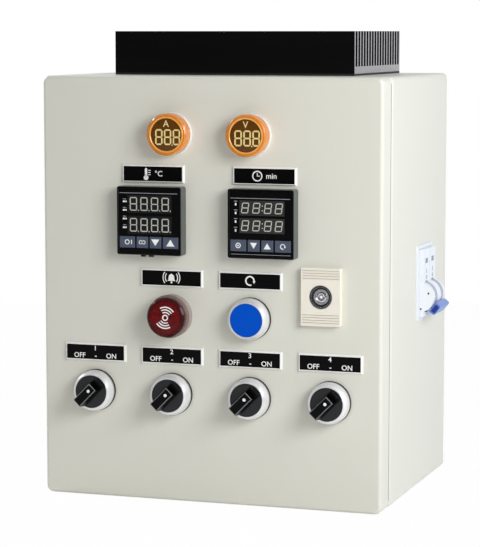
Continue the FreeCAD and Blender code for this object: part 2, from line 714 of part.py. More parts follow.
relay = new_body("relay")
relay_holes = [(0, s.relay_hole_pitch * j / 2) for j in (-1, 1)]
relay_terminals = four(s.relay_terminal_x * 2, s.relay_terminal_y * 2)
notch_y = s.relay_length / 2 - s.relay_notch_depth / 2
notches = [middle_loop(s.relay_notch_width, s.relay_notch_depth, 0, notch_y * j) for j in (-1, 1)]
pad(relay, "block", "XY", 0, [middle_loop(s.relay_width, s.relay_length)], s.relay_height, flip=True)
pocket(relay, "notches", "XY", -s.relay_height, notches, s.relay_height - s.relay_base, flip=True)
pocket(relay, "screw_holes", "XY", 0, holes(relay_holes, screw_hole), s.relay_base)
pocket(relay, "terminal_holes", "XY", -s.relay_height, holes(relay_terminals, screw_hole),
       s.screw_length + s.slide_fit, flip=True)
copies("solid_state_relays", relay, upright([(x, sink_middle, sink_floor) for x in relay_middles]))

# Breaker, its toggle, rail and bracket

breaker = new_body("breaker_housing", (breaker_face, breaker_near, middle_z))
breaker_width = s.pole_width * 2
nose, tall = s.breaker_nose / 2, s.breaker_height / 2
rail_clear = s.rail_width / 2 + s.slide_fit
lip_back = -s.breaker_depth - s.rail_lip
pad(breaker, "block", "XZ", breaker_width, [[
    (0, -nose), (0, nose), (-s.breaker_nose_depth, nose), (-s.breaker_nose_depth, tall), (lip_back, tall),
    (lip_back, rail_clear), (-s.breaker_depth, rail_clear), (-s.breaker_depth, -rail_clear), (lip_back, -rail_clear),
    (lip_back, -tall), (-s.breaker_nose_depth, -tall), (-s.breaker_nose_depth, -nose)]], breaker_width)
fillet(breaker, "edges", s.breaker_edge, lambda e: runs_along(e, "y") and lies_at(e, "x", 0))
pad(breaker, "hub", "XZ", breaker_width, [(-s.hub_inset, -s.hub_drop, s.hub_radius)], breaker_width)
for pole in (0, 1):
    pole_middle = s.pole_width * (pole + 0.5)
    pocket(breaker, "slot_%d" % pole, "XZ", pole_middle - s.toggle_slot / 2,
           [(-s.hub_inset, -s.hub_drop, s.hub_radius + s.toggle_room)], s.toggle_slot)
pocket(breaker, "joint_line", "YZ", 0, [middle_loop(s.breaker_groove, s.breaker_nose, s.pole_width, 0)],
       s.breaker_groove)
clamps = [(-s.breaker_nose_depth - s.clamp_hole_inset, s.pole_width * (pole + 0.5)) for pole in (0, 1)]
pocket(breaker, "clamps_top", "XY", tall, holes(clamps, s.clamp_hole_radius), s.clamp_hole_depth)
pocket(breaker, "clamps_low", "XY", -tall, holes(clamps, s.clamp_hole_radius), s.clamp_hole_depth, flip=True)
keep(breaker)

toggle = new_body("breaker_toggle", (breaker_face - s.hub_inset, breaker_middle, middle_z - s.hub_drop),
                  (0, 1, 0), s.toggle_rest)
handle_in = s.hub_radius + s.toggle_gap
drum_width = s.toggle_slot - s.slide_fit * 2
pad(toggle, "bar", "XZ", s.toggle_width / 2,
    [box_loop(handle_in, -s.toggle_thickness / 2, s.toggle_reach, s.toggle_thickness / 2)], s.toggle_width)
fillet(toggle, "bar_edges", s.toggle_edge, lambda e: runs_along(e, "y") and lies_at(e, "x", s.toggle_reach))
for pole in (0, 1):
    drum_level = s.pole_width * (pole - 0.5) + drum_width / 2
    pad(toggle, "neck_%d" % pole, "XZ", drum_level,
        [box_loop(0, -s.toggle_neck / 2, handle_in, s.toggle_neck / 2)], drum_width)
    pad(toggle, "drum_%d" % pole, "XZ", drum_level, [(0, 0, s.hub_radius)], drum_width)
keep(toggle)


def rail_profile(depth_sign):
    """Top-hat rail section as (depth, across), the foot at depth zero."""
    foot, wide, gauge = s.rail_foot / 2, s.rail_width / 2, s.rail_gauge
    top, under = s.rail_height * depth_sign, (s.rail_height - gauge) * depth_sign
    web = gauge * depth_sign
    inner = foot - gauge
    return [(0, -foot), (0, foot), (under, foot), (under, wide), (top, wide), (top, inner), (web, inner),
            (web, -inner), (top, -inner), (top, -wide), (under, -wide), (under, -foot)]


breaker_rail = new_body("breaker_rail", (bracket_face, breaker_middle, middle_z))
pad(breaker_rail, "section", "XZ", s.breaker_rail_length / 2, [rail_profile(1)], s.breaker_rail_length)
keep(breaker_rail)

bracket = new_body("breaker_bracket")
bracket_front = breaker_middle - s.breaker_rail_length / 2
bracket_foot = bracket_back - s.bracket_foot
foot_front = plate_front - s.bracket_gauge
pad(bracket, "angle", "XY", middle_z - s.bracket_height / 2, [[
    (bracket_back, bracket_front), (bracket_face, bracket_front), (bracket_face, plate_front),
    (bracket_foot, plate_front), (bracket_foot, foot_front), (bracket_back, foot_front)]], s.bracket_height)
pocket(bracket, "holes", "XZ", foot_front, holes(bracket_screws, screw_hole), s.bracket_gauge)
keep(bracket)

# Terminal rail, terminal blocks and end stops

terminal_rail = new_body("terminal_rail", (0, plate_front, terminal_z))
pad(terminal_rail, "section", "YZ", -rail_length / 2, [rail_profile(-1)], rail_length)
pocket(terminal_rail, "holes", "XZ", -s.rail_gauge, [(rail_screw_pitch * i / 2, 0, screw_hole) for i in (-1, 1)],
       s.rail_gauge)
keep(terminal_rail)
rail_top = plate_front - s.rail_height


def rail_block(name, width, height, depth, brow, shoulder):
    """A block clipped over the rail's flanges; origin on the flanges' face."""
    block = new_body(name)
    tall, front = height / 2, brow / 2
    pad(block, "section", "YZ", -width / 2, [[
        (s.rail_lip, -tall), (s.rail_lip, -rail_clear), (0, -rail_clear), (0, rail_clear), (s.rail_lip, rail_clear),
        (s.rail_lip, tall), (-shoulder, tall), (-shoulder - (tall - front) / 2, front), (-depth, front),
        (-depth, -front), (-shoulder - (tall - front) / 2, -front), (-shoulder, -tall)]], width)
    return block


terminal = rail_block("terminal_block", s.terminal_width, s.terminal_height, s.terminal_depth, s.terminal_brow,
                      s.terminal_shoulder)
pocket(terminal, "wells", "XZ", -s.terminal_depth,
       [(0, s.terminal_well_pitch * j / 2, s.terminal_well_radius) for j in (-1, 1)], s.terminal_well_depth)
terminal_step = s.terminal_width + s.terminal_gap
terminal_number = int(s.terminal_count.number)
terminal_x = [terminal_step * (n - (terminal_number - 1) / 2) for n in range(terminal_number)]
copies("terminal_blocks", terminal, upright([(x, rail_top, terminal_z) for x in terminal_x]))
stop = rail_block("terminal_stop", s.stop_width, s.stop_height, s.stop_depth, s.terminal_brow, s.stop_depth / 2)
stop_x = terminal_x[-1] + s.terminal_width / 2 + s.terminal_gap + s.stop_width / 2
copies("terminal_end_stops", stop, upright([(stop_x * i, rail_top, terminal_z) for i in (-1, 1)]))

# Ground bar and current transformer

ground = new_body("ground_bar")
ground_clamps = [(ground_x + s.ground_hole_pitch * n, ground_z) for n in range(-2, 3)]
pad(ground, "bar", "XZ", plate_front, [middle_loop(s.ground_length, s.ground_height, ground_x, ground_z)]
    + holes(ground_screws, screw_hole) + holes(ground_clamps, s.ground_hole_radius), s.ground_depth)
keep(ground)

transformer = new_body("current_transformer",
                       (plate_left + s.transformer_inset, plate_front, s.plate_end + s.transformer_rise))
ring_y = -s.transformer_stand - s.transformer_radius
foot_y = -s.transformer_stand - (s.transformer_radius - s.transformer_bore) / 2
pad(transformer, "ring", "XY", -s.transformer_height / 2,
    [(0, ring_y, s.transformer_radius), (0, ring_y, s.transformer_bore)], s.transformer_height)
pad(transformer, "foot", "XY", -s.transformer_height / 2,
    [box_loop(-s.transformer_foot / 2, foot_y, s.transformer_foot / 2, 0)], s.transformer_height)
keep(transformer)

# Every equal M4 screw: heat sink, relays, relay terminals, breaker bracket, rail and ground bar

into_plate, upwards = ((1, 0, 0), 90), ((1, 0, 0), 180)
screw_places = [((x, y, s.case_height - s.sheet_gauge), *upwards) for x, y in sink_corners]
screw_places += [((x, y, sink_floor - s.relay_base), *upwards) for x, y in relay_screws]
screw_places += [((x + relay_x, y + sink_middle, sink_floor - s.relay_height), *upwards)
                 for relay_x in relay_middles for x, y in relay_terminals]
screw_places += [((x, foot_front, z), *into_plate) for x, z in bracket_screws]
screw_places += [((x, plate_front - s.rail_gauge, z), *into_plate) for x, z in rail_screws]
screw_places += [((x, plate_front - s.ground_depth, z), *into_plate) for x, z in ground_screws]
copies("pan_screws", pan_screw("pan_screw", s.screw_length), screw_places)

# Hinges: the lower knuckle and the pin stay with the case, the upper knuckle turns with the door

hinge_half = s.hinge_length / 2
knuckle = hinge_half - s.hinge_gap / 2
leaf_out = s.hinge_radius + s.hinge_stand
leaf_in = leaf_out - s.hinge_leaf_gauge
hinge_places = upright([(hinge_x, hinge_y, z) for z in (s.hinge_inset, s.case_height - s.hinge_inset)])

case_leaf = new_body("hinge_case_leaf")
pad(case_leaf, "knuckle", "XY", -hinge_half, [(0, 0, s.hinge_radius)], knuckle)
pad(case_leaf, "leaf", "XY", -hinge_half, [box_loop(leaf_in, s.hinge_back, leaf_out, s.hinge_leaf)], knuckle)
pocket(case_leaf, "bore", "XY", 0, [(0, 0, s.pin_radius + s.seat_fit)], hinge_half)
copies("hinge_case_leaves", case_leaf, hinge_places)

door_leaf = new_body("hinge_door_leaf")
pad(door_leaf, "knuckle", "XY", s.hinge_gap / 2, [(0, 0, s.hinge_radius)], knuckle)
pad(door_leaf, "leaf", "XY", s.hinge_gap / 2, [box_loop(leaf_in, -s.hinge_door_leaf, leaf_out, -s.hinge_back)],
    knuckle)
pocket(door_leaf, "bore", "XY", hinge_half, [(0, 0, s.pin_radius + s.pin_fit)], hinge_half)
copies("hinge_door_leaves", door_leaf, hinge_places)

pin = new_body("hinge_pin")
pin_top = hinge_half + s.hinge_gap / 2
pin_low = -hinge_half - s.pin_head_height
pin_high = pin_top + s.pin_head_height
revolve(pin, "turned", "XZ", [(0, pin_low), (s.pin_head_radius, pin_low), (s.pin_head_radius, -hinge_half),
                              (s.pin_radius, -hinge_half), (s.pin_radius, pin_top), (s.pin_head_radius, pin_top),
                              (s.pin_head_radius, pin_high), (0, pin_high)])
copies("hinge_pins", pin, hinge_places)

# Door

door = new_body("door_panel")
door_hole = s.controller_rear + s.hole_fit * 2
pad(door, "block", "XZ", door_back, [box_loop(-half_width, 0, half_width, s.case_height)], s.door_depth)
pocket(door, "pan", "XZ", door_back, [box_loop(-inside_x, s.sheet_gauge, inside_x, inside_high)],
       s.door_depth - s.sheet_gauge, flip=True)
fillet(door, "inner_corners", s.door_corner - s.sheet_gauge, lambda e: runs_along(e, "y") and beside(e, inside_x))
fillet(door, "inner_folds", s.door_bend - s.sheet_gauge, lambda e: lies_at(e, "y", door_inside))
fillet(door, "corners", s.door_corner, lambda e: runs_along(e, "y") and beside(e, half_width))
fillet(door, "front_folds", s.door_bend, lambda e: lies_at(e, "y", case_front))
pocket(door, "cut_outs", "XZ", case_front,
       holes([(x, z) for x, y, z in round_places], panel_hole)
       + [middle_loop(door_hole, door_hole, x, z) for x, y, z in controller_places]
       + [(lock_x, middle_z, s.lock_barrel + s.hole_fit)], s.sheet_gauge)
keep(door)

foam = new_body("door_gasket")
foam_x, foam_low = mouth_x + s.sheet_gauge / 2, mouth_low - s.sheet_gauge / 2
foam_tall = s.case_height - foam_low * 2
pad(foam, "strip", "XZ", door_inside + s.foam_height,
    [middle_loop(foam_x * 2 + s.foam_width, foam_tall + s.foam_width, 0, middle_z),
     middle_loop(foam_x * 2 - s.foam_width, foam_tall - s.foam_width, 0, middle_z)], s.foam_height)
keep(foam)

# Lock: plate and barrel on the door, turning insert with the cam behind the case's lip

lock_at = (lock_x, case_front, middle_z)
cam_front = box_front + s.sheet_gauge + s.cam_gap - case_front
lock_bore = s.lock_insert_radius + s.slide_fit
lock_front = -s.lock_thickness
grooves = [middle_loop(s.lock_groove_length, s.lock_groove, 0, (s.lock_groove_first + s.lock_groove_pitch * n) * j)
           for n in range(4) for j in (-1, 1)]
lock = new_body("lock_housing", lock_at)
pad(lock, "plate", "XZ", 0, [middle_loop(s.lock_width, s.lock_height)], s.lock_thickness)
fillet(lock, "corners", s.lock_corner, lambda e: runs_along(e, "y"))
pad(lock, "barrel", "XZ", cam_front - s.slide_fit, [(0, 0, s.lock_barrel)], cam_front - s.slide_fit)
pocket(lock, "bore", "XZ", lock_front, [(0, 0, lock_bore)], cam_front + s.lock_thickness)
pocket(lock, "grooves", "XZ", lock_front, grooves, s.lock_groove_depth)
keep(lock)

clip = new_body("lock_clip", (lock_x, door_inside, middle_z))
pad(clip, "sheet", "XZ", s.lock_clip_gauge,
    [middle_loop(s.lock_clip_size, s.lock_clip_size), (0, 0, s.lock_barrel + s.seat_fit)], s.lock_clip_gauge)
keep(clip)

insert = new_body("lock_insert", lock_at)
insert_front = lock_front + s.lock_insert_inset
recess_floor = insert_front + s.lock_recess
pin_front = insert_front + s.lock_pin_inset
sleeve_in = s.lock_sleeve - s.lock_sleeve_wall
recess_out = s.lock_insert_radius - s.lock_rim
revolve(insert, "turned", "XY", [
    (0, pin_front), (s.lock_pin, pin_front), (s.lock_pin, recess_floor), (sleeve_in, recess_floor),
    (sleeve_in, pin_front), (s.lock_sleeve, pin_front), (s.lock_sleeve, recess_floor), (recess_out, recess_floor),
    (recess_out, insert_front), (s.lock_insert_radius, insert_front), (s.lock_insert_radius, cam_front),
    (0, cam_front)])
pad(insert, "drive", "XZ", cam_front + s.cam_gauge, [middle_loop(s.lock_drive, s.lock_drive)], s.cam_gauge)
pocket(insert, "screw_hole", "XZ", cam_front + s.cam_gauge, [(0, 0, screw_hole)], s.cam_screw_depth + s.slide_fit,
       flip=True)
keep(insert)

cam = new_body("lock_cam", lock_at)
cam_half = s.cam_width / 2
cam_hole = s.lock_drive + s.seat_fit * 2
pad(cam, "tongue", "XZ", cam_front + s.cam_gauge,
    [box_loop(-cam_half, -s.cam_tail, cam_half, s.cam_reach), middle_loop(cam_hole, cam_hole)], s.cam_gauge)
keep(cam)

cam_screw = new_body("lock_cam_screw", (lock_x, case_front + cam_front + s.cam_gauge, middle_z))
revolve(cam_screw, "turned", "XY", [
    (0, -s.cam_screw_depth), (s.screw_radius, -s.cam_screw_depth), (s.screw_radius, 0), (s.cam_head_radius, 0),
    (s.cam_head_radius, s.cam_head_height), (0, s.cam_head_height)])
keep(cam_screw)

# Meters and buzzer

meter = new_body("meter_housing")
revolve(meter, "turned", "XY", [
    (0, -s.meter_flange_height), (s.meter_flange, -s.meter_flange_height), (s.meter_flange, 0), (s.barrel_radius, 0),
    (s.barrel_radius, s.meter_tail), (0, s.meter_tail)])
copies("meter_housings", meter, upright(meter_places))

lens = new_body("meter_lens_body")
lens_top = -s.meter_lens_height
revolve(lens, "turned", "XY", [
    (0, -s.meter_flange_height), (s.meter_lens, -s.meter_flange_height), (s.meter_lens, lens_top + s.meter_lens_edge),
    (s.meter_lens - s.meter_lens_edge, lens_top), (s.meter_window, lens_top),
    (s.meter_window, lens_top + s.meter_window_depth), (0, lens_top + s.meter_window_depth)])
copies("meter_lenses", lens, upright(meter_places))

alarm = new_body("alarm_base", alarm_place)
revolve(alarm, "turned", "XY", [
    (0, -s.alarm_base_height), (s.alarm_lens, -s.alarm_base_height), (s.alarm_radius, -s.alarm_base_height / 2),
    (s.alarm_radius, 0), (s.barrel_radius, 0), (s.barrel_radius, s.alarm_tail), (0, s.alarm_tail)])
keep(alarm)

alarm_lens = new_body("alarm_lens", alarm_place)
revolve(alarm_lens, "turned", "XY", [
    (0, -s.alarm_base_height), (s.alarm_lens, -s.alarm_base_height), (s.alarm_lens, s.alarm_edge - s.alarm_height),
    (s.alarm_lens - s.alarm_edge, -s.alarm_height), (0, -s.alarm_height)])
keep(alarm_lens)

# Silver rings, push button and selectors

seal = new_body("switch_seal")
revolve(seal, "turned", "XY", [
    (s.barrel_radius + s.seat_fit, -s.seal_height), (s.seal_radius, -s.seal_height), (s.seal_radius, 0),
    (s.barrel_radius + s.seat_fit, 0)])
copies("switch_seals", seal, upright(switch_places))


def silver_ring(name, at=(0, 0, 0)):
    """Domed ring with its barrel through the door."""
    ring = new_body(name, at)
    shoulder = s.ring_crown - s.ring_height
    revolve(ring, "turned", "XY", [
        (s.ring_throat, s.barrel_tail), (s.barrel_radius, s.barrel_tail), (s.barrel_radius, -s.seal_height),
        (s.ring_radius, -s.seal_height), (s.ring_radius, -s.ring_foot), (s.ring_top + s.ring_flare, shoulder),
        (s.ring_top, -s.ring_height), (s.ring_bore, -s.ring_height), (s.ring_bore, -s.ring_floor),
        (s.ring_throat, -s.ring_floor)])
    fillet(ring, "dome", s.ring_round,
           lambda e: lies_at(e, "y", -s.ring_foot) or lies_at(e, "y", shoulder))
    fillet(ring, "lip", s.ring_lip,
           lambda e: lies_at(e, "y", -s.ring_height) and e.BoundBox.XMax > (s.ring_top + s.ring_bore).number / 2)
    return ring


copies("selector_rings", silver_ring("selector_ring"), upright(selector_places))
keep(silver_ring("reset_ring", reset_place))

disc_radius = s.ring_bore - s.slide_fit
stem_radius = s.ring_throat - s.slide_fit
disc_front = -s.ring_height - s.knob_proud
for number, at in enumerate(selector_places, 1):
    knob = new_body("selector_knob_%d" % number, at, (0, -1, 0), s.handle_turn)
    disc_floor = -s.ring_floor - s.slide_fit
    revolve(knob, "disc", "XY", [
        (0, disc_front), (disc_radius, disc_front), (disc_radius, disc_floor), (stem_radius, disc_floor),
        (stem_radius, s.knob_stem), (0, s.knob_stem)])
    handle_tip = disc_front - s.handle_height
    nose_tip = disc_front - s.handle_nose_height
    foot, top = s.handle_foot / 2, s.handle_top / 2
    pad(knob, "handle", "YZ", -s.handle_back,
        [[(disc_front, -foot), (disc_front, foot), (handle_tip, top), (handle_tip, -top)]],
        s.handle_back + s.handle_front)
    pad(knob, "nose", "YZ", s.handle_front,
        [[(disc_front, -foot), (disc_front, foot), (nose_tip, top), (nose_tip, -top)]], s.handle_nose)
    fillet(knob, "edges", s.handle_edge, lambda e: lies_at(e, "y", handle_tip))
    keep(knob)

cap = new_body("reset_cap", reset_place)
cap_floor = -s.ring_floor - s.slide_fit - s.cap_travel
revolve(cap, "turned", "XY", [
    (0, -s.ring_height), (disc_radius, -s.ring_height), (disc_radius, cap_floor), (stem_radius, cap_floor),
    (stem_radius, s.cap_stem), (0, s.cap_stem)])
keep(cap)

panel_nut = hex_nut("panel_nut", s.panel_nut_radius, s.panel_nut_height, s.barrel_radius + s.seat_fit)
behind = [((x, door_inside, z), (1, 0, 0), -90) for x, y, z in round_places]
copies("panel_nuts", panel_nut, behind)

block = new_body("contact_block")
block_end = s.barrel_tail + s.block_depth
block_wells = four(s.block_well_x * 2, s.block_well_z * 2)
pad(block, "box", "XZ", block_end, [middle_loop(s.block_width, s.block_height)], s.block_depth)
pocket(block, "wells", "XZ", block_end, holes(block_wells, s.block_well_radius), s.block_well_depth, flip=True)
copies("contact_blocks", block, upright(switch_places))

# Legend plates with bevelled edges

plate_shape = doc.addObject("Part::Wedge", "legend_plate")
for letter, size in (("X", s.label_width), ("Z", s.label_height)):
    bind(plate_shape, letter + "min", s.label_bevel - size / 2)
    bind(plate_shape, letter + "max", size / 2 - s.label_bevel)
    bind(plate_shape, letter + "2min", -size / 2)
    bind(plate_shape, letter + "2max", size / 2)
bind(plate_shape, "Ymin", -s.label_thickness)
bind(plate_shape, "Ymax", 0)
label_places = [(x, case_front, selector_label_row) for x in column]
label_places += [(x, case_front, button_label_row) for x in column[1:3]]
label_places += [(x, case_front, controller_label_row) for x, y, z in controller_places]
copies("legend_plates", plate_shape, upright(label_places))

# Controllers: case, front plate, four keys and the bracket behind the door

controller_front = -s.controller_proud
face_front = controller_front + s.face_inset
face_back = face_front + s.face_thickness
key_front = face_front - s.key_proud
key_back = key_front + s.key_thickness
key_row = s.key_outer * 2 + s.key_inner * 2 + s.key_pitch_gap * 3
key_widths = [s.key_outer, s.key_inner, s.key_inner, s.key_outer]
key_x = [s.key_outer / 2 - key_row / 2,
         s.key_outer + s.key_pitch_gap + s.key_inner / 2 - key_row / 2,
         key_row / 2 - s.key_outer - s.key_pitch_gap - s.key_inner / 2,
         key_row / 2 - s.key_outer / 2]
key_hole = s.key_height + s.hole_fit * 2
well_back = key_back + s.key_travel + s.key_room
for name, (x, y, z) in zip(("temperature", "timer"), controller_places):
    at = (x, y, z)
    case_body = new_body(name + "_case", at)
    pad(case_body, "frame", "XZ", 0, [middle_loop(s.controller_size, s.controller_size)], s.controller_proud)
    fillet(case_body, "corners", s.controller_corner, lambda e: runs_along(e, "y"))
    fillet(case_body, "edges", s.controller_edge, lambda e: lies_at(e, "y", controller_front))
    pad(case_body, "rear", "XZ", s.controller_tail, [middle_loop(s.controller_rear, s.controller_rear)],
        s.controller_tail)
    recess = s.face_size + s.seat_fit * 2
    pocket(case_body, "recess", "XZ", controller_front, [middle_loop(recess, recess)], face_back - controller_front)
    pocket(case_body, "key_well", "XZ", face_back, [middle_loop(key_row + s.key_room * 2, key_hole, 0, -s.key_drop)],
           well_back - face_back)
    keep(case_body)
    face = new_body(name + "_face", at)
    pad(face, "plate", "XZ", face_back, [middle_loop(s.face_size, s.face_size)]
        + [middle_loop(width + s.hole_fit * 2, key_hole, offset, -s.key_drop)
           for width, offset in zip(key_widths, key_x)], s.face_thickness)
    keep(face)
    for number, (width, offset) in enumerate(zip(key_widths, key_x), 1):
        key = new_body("%s_key_%d" % (name, number), at)
        pad(key, "cap", "XZ", key_back, [middle_loop(width, s.key_height, offset, -s.key_drop)], s.key_thickness)
        fillet(key, "edges", s.key_edge, lambda e: lies_at(e, "y", key_front))
        keep(key)

frame_body = new_body("controller_bracket")
bracket_hole = s.controller_rear + s.seat_fit * 2
pad(frame_body, "frame", "XZ", s.sheet_gauge + s.bracket_frame_depth,
    [middle_loop(s.bracket_frame, s.bracket_frame), middle_loop(bracket_hole, bracket_hole)], s.bracket_frame_depth)
copies("controller_brackets", frame_body, upright(controller_places))

# Check every object and write the sub-parts

doc.recompute()
for obj in doc.Objects:
    faults = [word for word in obj.State if word in ("Invalid", "Error")]
    if faults:
        raise RuntimeError("%s: %s" % (obj.Name, ", ".join(faults)))
for part in PARTS:
    if part.Shape.isNull() or not part.Shape.isValid() or not part.Shape.Solids:
        raise RuntimeError(part.Label + " has no valid solid")
os.makedirs("parts", exist_ok=True)
for part in PARTS:
    part.Shape.exportStep("parts/" + part.Label + ".step")
print(len(PARTS), "sub-parts,", sum(len(part.Shape.Solids) for part in PARTS), "solids")
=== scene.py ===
# %% [markdown]
# # Oven control panel
#
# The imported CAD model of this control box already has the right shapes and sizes, so this lesson is
# about its looks: paint, metals, plastics, printing and displays. Everything is in metres and in the
# frame of the CAD model: +X is the panel's right, +Y its back, +Z up, and the origin is the middle of
# the case's underside.

import math

import bmesh
import bpy
from mathutils import Matrix, Vector


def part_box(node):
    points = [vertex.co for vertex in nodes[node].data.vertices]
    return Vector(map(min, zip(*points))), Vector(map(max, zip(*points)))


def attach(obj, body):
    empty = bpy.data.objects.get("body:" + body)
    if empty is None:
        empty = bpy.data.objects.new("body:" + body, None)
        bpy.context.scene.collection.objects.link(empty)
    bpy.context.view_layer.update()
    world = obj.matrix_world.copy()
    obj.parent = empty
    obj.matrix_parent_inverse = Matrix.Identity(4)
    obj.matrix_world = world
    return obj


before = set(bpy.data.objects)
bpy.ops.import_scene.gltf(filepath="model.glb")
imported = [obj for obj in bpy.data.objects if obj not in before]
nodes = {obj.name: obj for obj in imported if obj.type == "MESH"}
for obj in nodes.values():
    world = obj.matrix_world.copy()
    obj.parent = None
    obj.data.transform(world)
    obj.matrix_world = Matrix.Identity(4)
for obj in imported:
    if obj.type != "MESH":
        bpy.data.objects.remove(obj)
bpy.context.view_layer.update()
MM = 0.001

# %% [markdown]
# ## Places on the panel
#
# Some places are needed by the finishes and again by the printing. They are given once, in millimetres
# and in the CAD model's frame: the columns and rows of the devices on the door, the middle of the lock
# and the axis of the breaker's toggle. How far forward or back a device reaches is read from its CAD
# node.

# %% Places on the panel
COLUMNS = (-85.3, -27.3, 30.7, 88.7)
KNOB_ROW = 76.8
BUTTON_ROW = 132.6
CONTROLLER_ROW = 199.5
METER_ROW = 260.0
TEMPERATURE_X = -41.0
TIMER_X = 41.0
LOCK = (82.5, 150.0)
TOGGLE_AXIS = (126.0, 140.0)


def front_of(name):
    """How far forward a CAD node reaches, in millimetres."""
    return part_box(name)[0].y / MM


def back_of(name):
    """How far back a CAD node reaches, in millimetres."""
    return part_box(name)[1].y / MM


DOOR = front_of("door_panel")
print("door front at", round(DOOR, 2), "mm")

# %% [markdown]
# ## Camera
#
# The panel is seen from its right and a little from above, with a long lens. A long lens far away keeps
# upright edges nearly parallel, which is how a product picture is taken. The place and the angles were
# fitted to the corners of the door and the case.

# %% Camera
TILT_DOWN = 6.247
TURN_LEFT = 18.629
camera_data = bpy.data.cameras.new("product_camera")
camera_data.lens = 144.8
camera_data.sensor_width = 36.0
camera = bpy.data.objects.new("product_camera", camera_data)
camera.location = (0.5081, -1.5334, 0.3302)
camera.rotation_euler = (math.radians(90 - TILT_DOWN), 0, math.radians(TURN_LEFT))
bpy.context.scene.collection.objects.link(camera)
bpy.context.scene.camera = camera
bpy.context.scene.view_settings.view_transform = "Standard"
print("camera", round((camera.location - Vector((0, DOOR * MM, 0.15))).length, 3), "m from the door")

# %% [markdown]
# ## Node helper
#
# Every material below is a small graph of nodes. One function adds a node, sets its properties, and
# either sets or links each of its inputs. Colours are written as sRGB hex values, as on a screen, and a
# second function turns them into the linear numbers that Blender calculates with.

# %% Node helper
def linear(code):
    """An sRGB hex colour as linear red, green, blue and alpha."""
    shares = [int(code[i:i + 2], 16) / 255 for i in (1, 3, 5)]
    return tuple(c / 12.92 if c <= 0.04045 else ((c + 0.055) / 1.055) ** 2.4 for c in shares) + (1.0,)


def add_node(tree, kind, inputs=None, **properties):
    """Add one node with its properties; an input is linked if it is given a socket, and set otherwise."""
    node = tree.nodes.new(kind)
    for name, value in properties.items():
        setattr(node, name, value)
    for name, value in (inputs or {}).items():
        if isinstance(value, bpy.types.NodeSocket):
            tree.links.new(value, node.inputs[name])
        else:
            node.inputs[name].default_value = value
    return node


print("white is", [round(c, 3) for c in linear("#FFFFFF")], "and mid grey", round(linear("#808080")[0], 3))

# %% [markdown]
# ## Studio
#
# A plain pale table top carries the box. Rays from the camera, and mirror or glass rays behind the box,
# meet pure white, and the table keeps a soft shadow. In front of the box the studio is dark, as behind
# a photographer, so glossy black fronts stay black. Three softboxes give the light: a near one in front
# to the right, whose light falls off towards the left, a faint cool one beside the case, and one on the
# left that draws the edges.

# %% Sky
SKY_FILL = 0.34
world = bpy.data.worlds.new("white_studio")
bpy.context.scene.world = world
world.use_nodes = True
tree = world.node_tree
tree.nodes.clear()
path = add_node(tree, "ShaderNodeLightPath")
way = add_node(tree, "ShaderNodeTexCoord")
split = add_node(tree, "ShaderNodeSeparateXYZ", {"Vector": way.outputs["Generated"]})
mirrored = add_node(tree, "ShaderNodeMapRange", {
    "Value": split.outputs["Y"], "From Min": -0.75, "From Max": 0.1, "To Min": 0.1, "To Max": 1.0})
seen = add_node(tree, "ShaderNodeMath", {
    0: path.outputs["Is Glossy Ray"], 1: path.outputs["Is Transmission Ray"]}, operation="MAXIMUM")
soft = add_node(tree, "ShaderNodeMix", {
    "Factor": seen.outputs[0], "A": SKY_FILL, "B": mirrored.outputs[0]})
level = add_node(tree, "ShaderNodeMix", {
    "Factor": path.outputs["Is Camera Ray"], "A": soft.outputs[0], "B": 1.0})
sky = add_node(tree, "ShaderNodeBackground", {"Color": linear("#FFFFFF"), "Strength": level.outputs[0]})
add_node(tree, "ShaderNodeOutputWorld", {"Surface": sky.outputs[0]})
print("the sky lights plain surfaces at", SKY_FILL, "of white")

# %% Table top
WHITE_SHARE = 0.965
table_mesh = bpy.data.meshes.new("table_top")
plan = bmesh.new()
bmesh.ops.create_circle(plan, cap_ends=True, segments=96, radius=1.1)
plan.to_mesh(table_mesh)
plan.free()
table_top = bpy.data.objects.new("table_top", table_mesh)
bpy.context.scene.collection.objects.link(table_top)
table_paint = bpy.data.materials.new("white_table_laminate")
table_paint.use_nodes = True
tree = table_paint.node_tree
tree.nodes.clear()
path = add_node(tree, "ShaderNodeLightPath")
matt = add_node(tree, "ShaderNodeBsdfDiffuse", {"Color": linear("#F4F4F2")})
glow = add_node(tree, "ShaderNodeEmission", {"Color": linear("#FFFFFF"), "Strength": 1.0})
seen = add_node(tree, "ShaderNodeMath", {
    0: path.outputs["Is Camera Ray"], 1: path.outputs["Is Glossy Ray"]}, operation="MAXIMUM")
seen = add_node(tree, "ShaderNodeMath", {
    0: seen.outputs[0], 1: path.outputs["Is Transmission Ray"]}, operation="MAXIMUM")
share = add_node(tree, "ShaderNodeMath", {0: seen.outputs[0], 1: WHITE_SHARE}, operation="MULTIPLY")
mixed = add_node(tree, "ShaderNodeMixShader", {
    0: share.outputs[0], 1: matt.outputs[0], 2: glow.outputs[0]})
add_node(tree, "ShaderNodeOutputMaterial", {"Surface": mixed.outputs[0]})
table_mesh.materials.append(table_paint)
print("table top", round(table_top.dimensions.x, 2), "m across")

# %% Softboxes
AIM = Vector((0, -0.02, 0.17))


def softbox(name, towards, distance, size, strength, code="#FFFFFF"):
    """A square lamp whose light shows a facing surface at so many times its own colour."""
    lamp = bpy.data.lights.new(name, "AREA")
    lamp.size = size
    lamp.color = linear(code)[:3]
    lamp.energy = math.pi ** 2 * distance ** 2 * strength
    holder = bpy.data.objects.new(name, lamp)
    direction = Vector(towards).normalized()
    holder.location = AIM + direction * distance
    holder.rotation_euler = direction.to_track_quat("Z", "Y").to_euler()
    bpy.context.scene.collection.objects.link(holder)
    print(name, round(lamp.energy, 1), "W at", [round(c, 2) for c in holder.location])


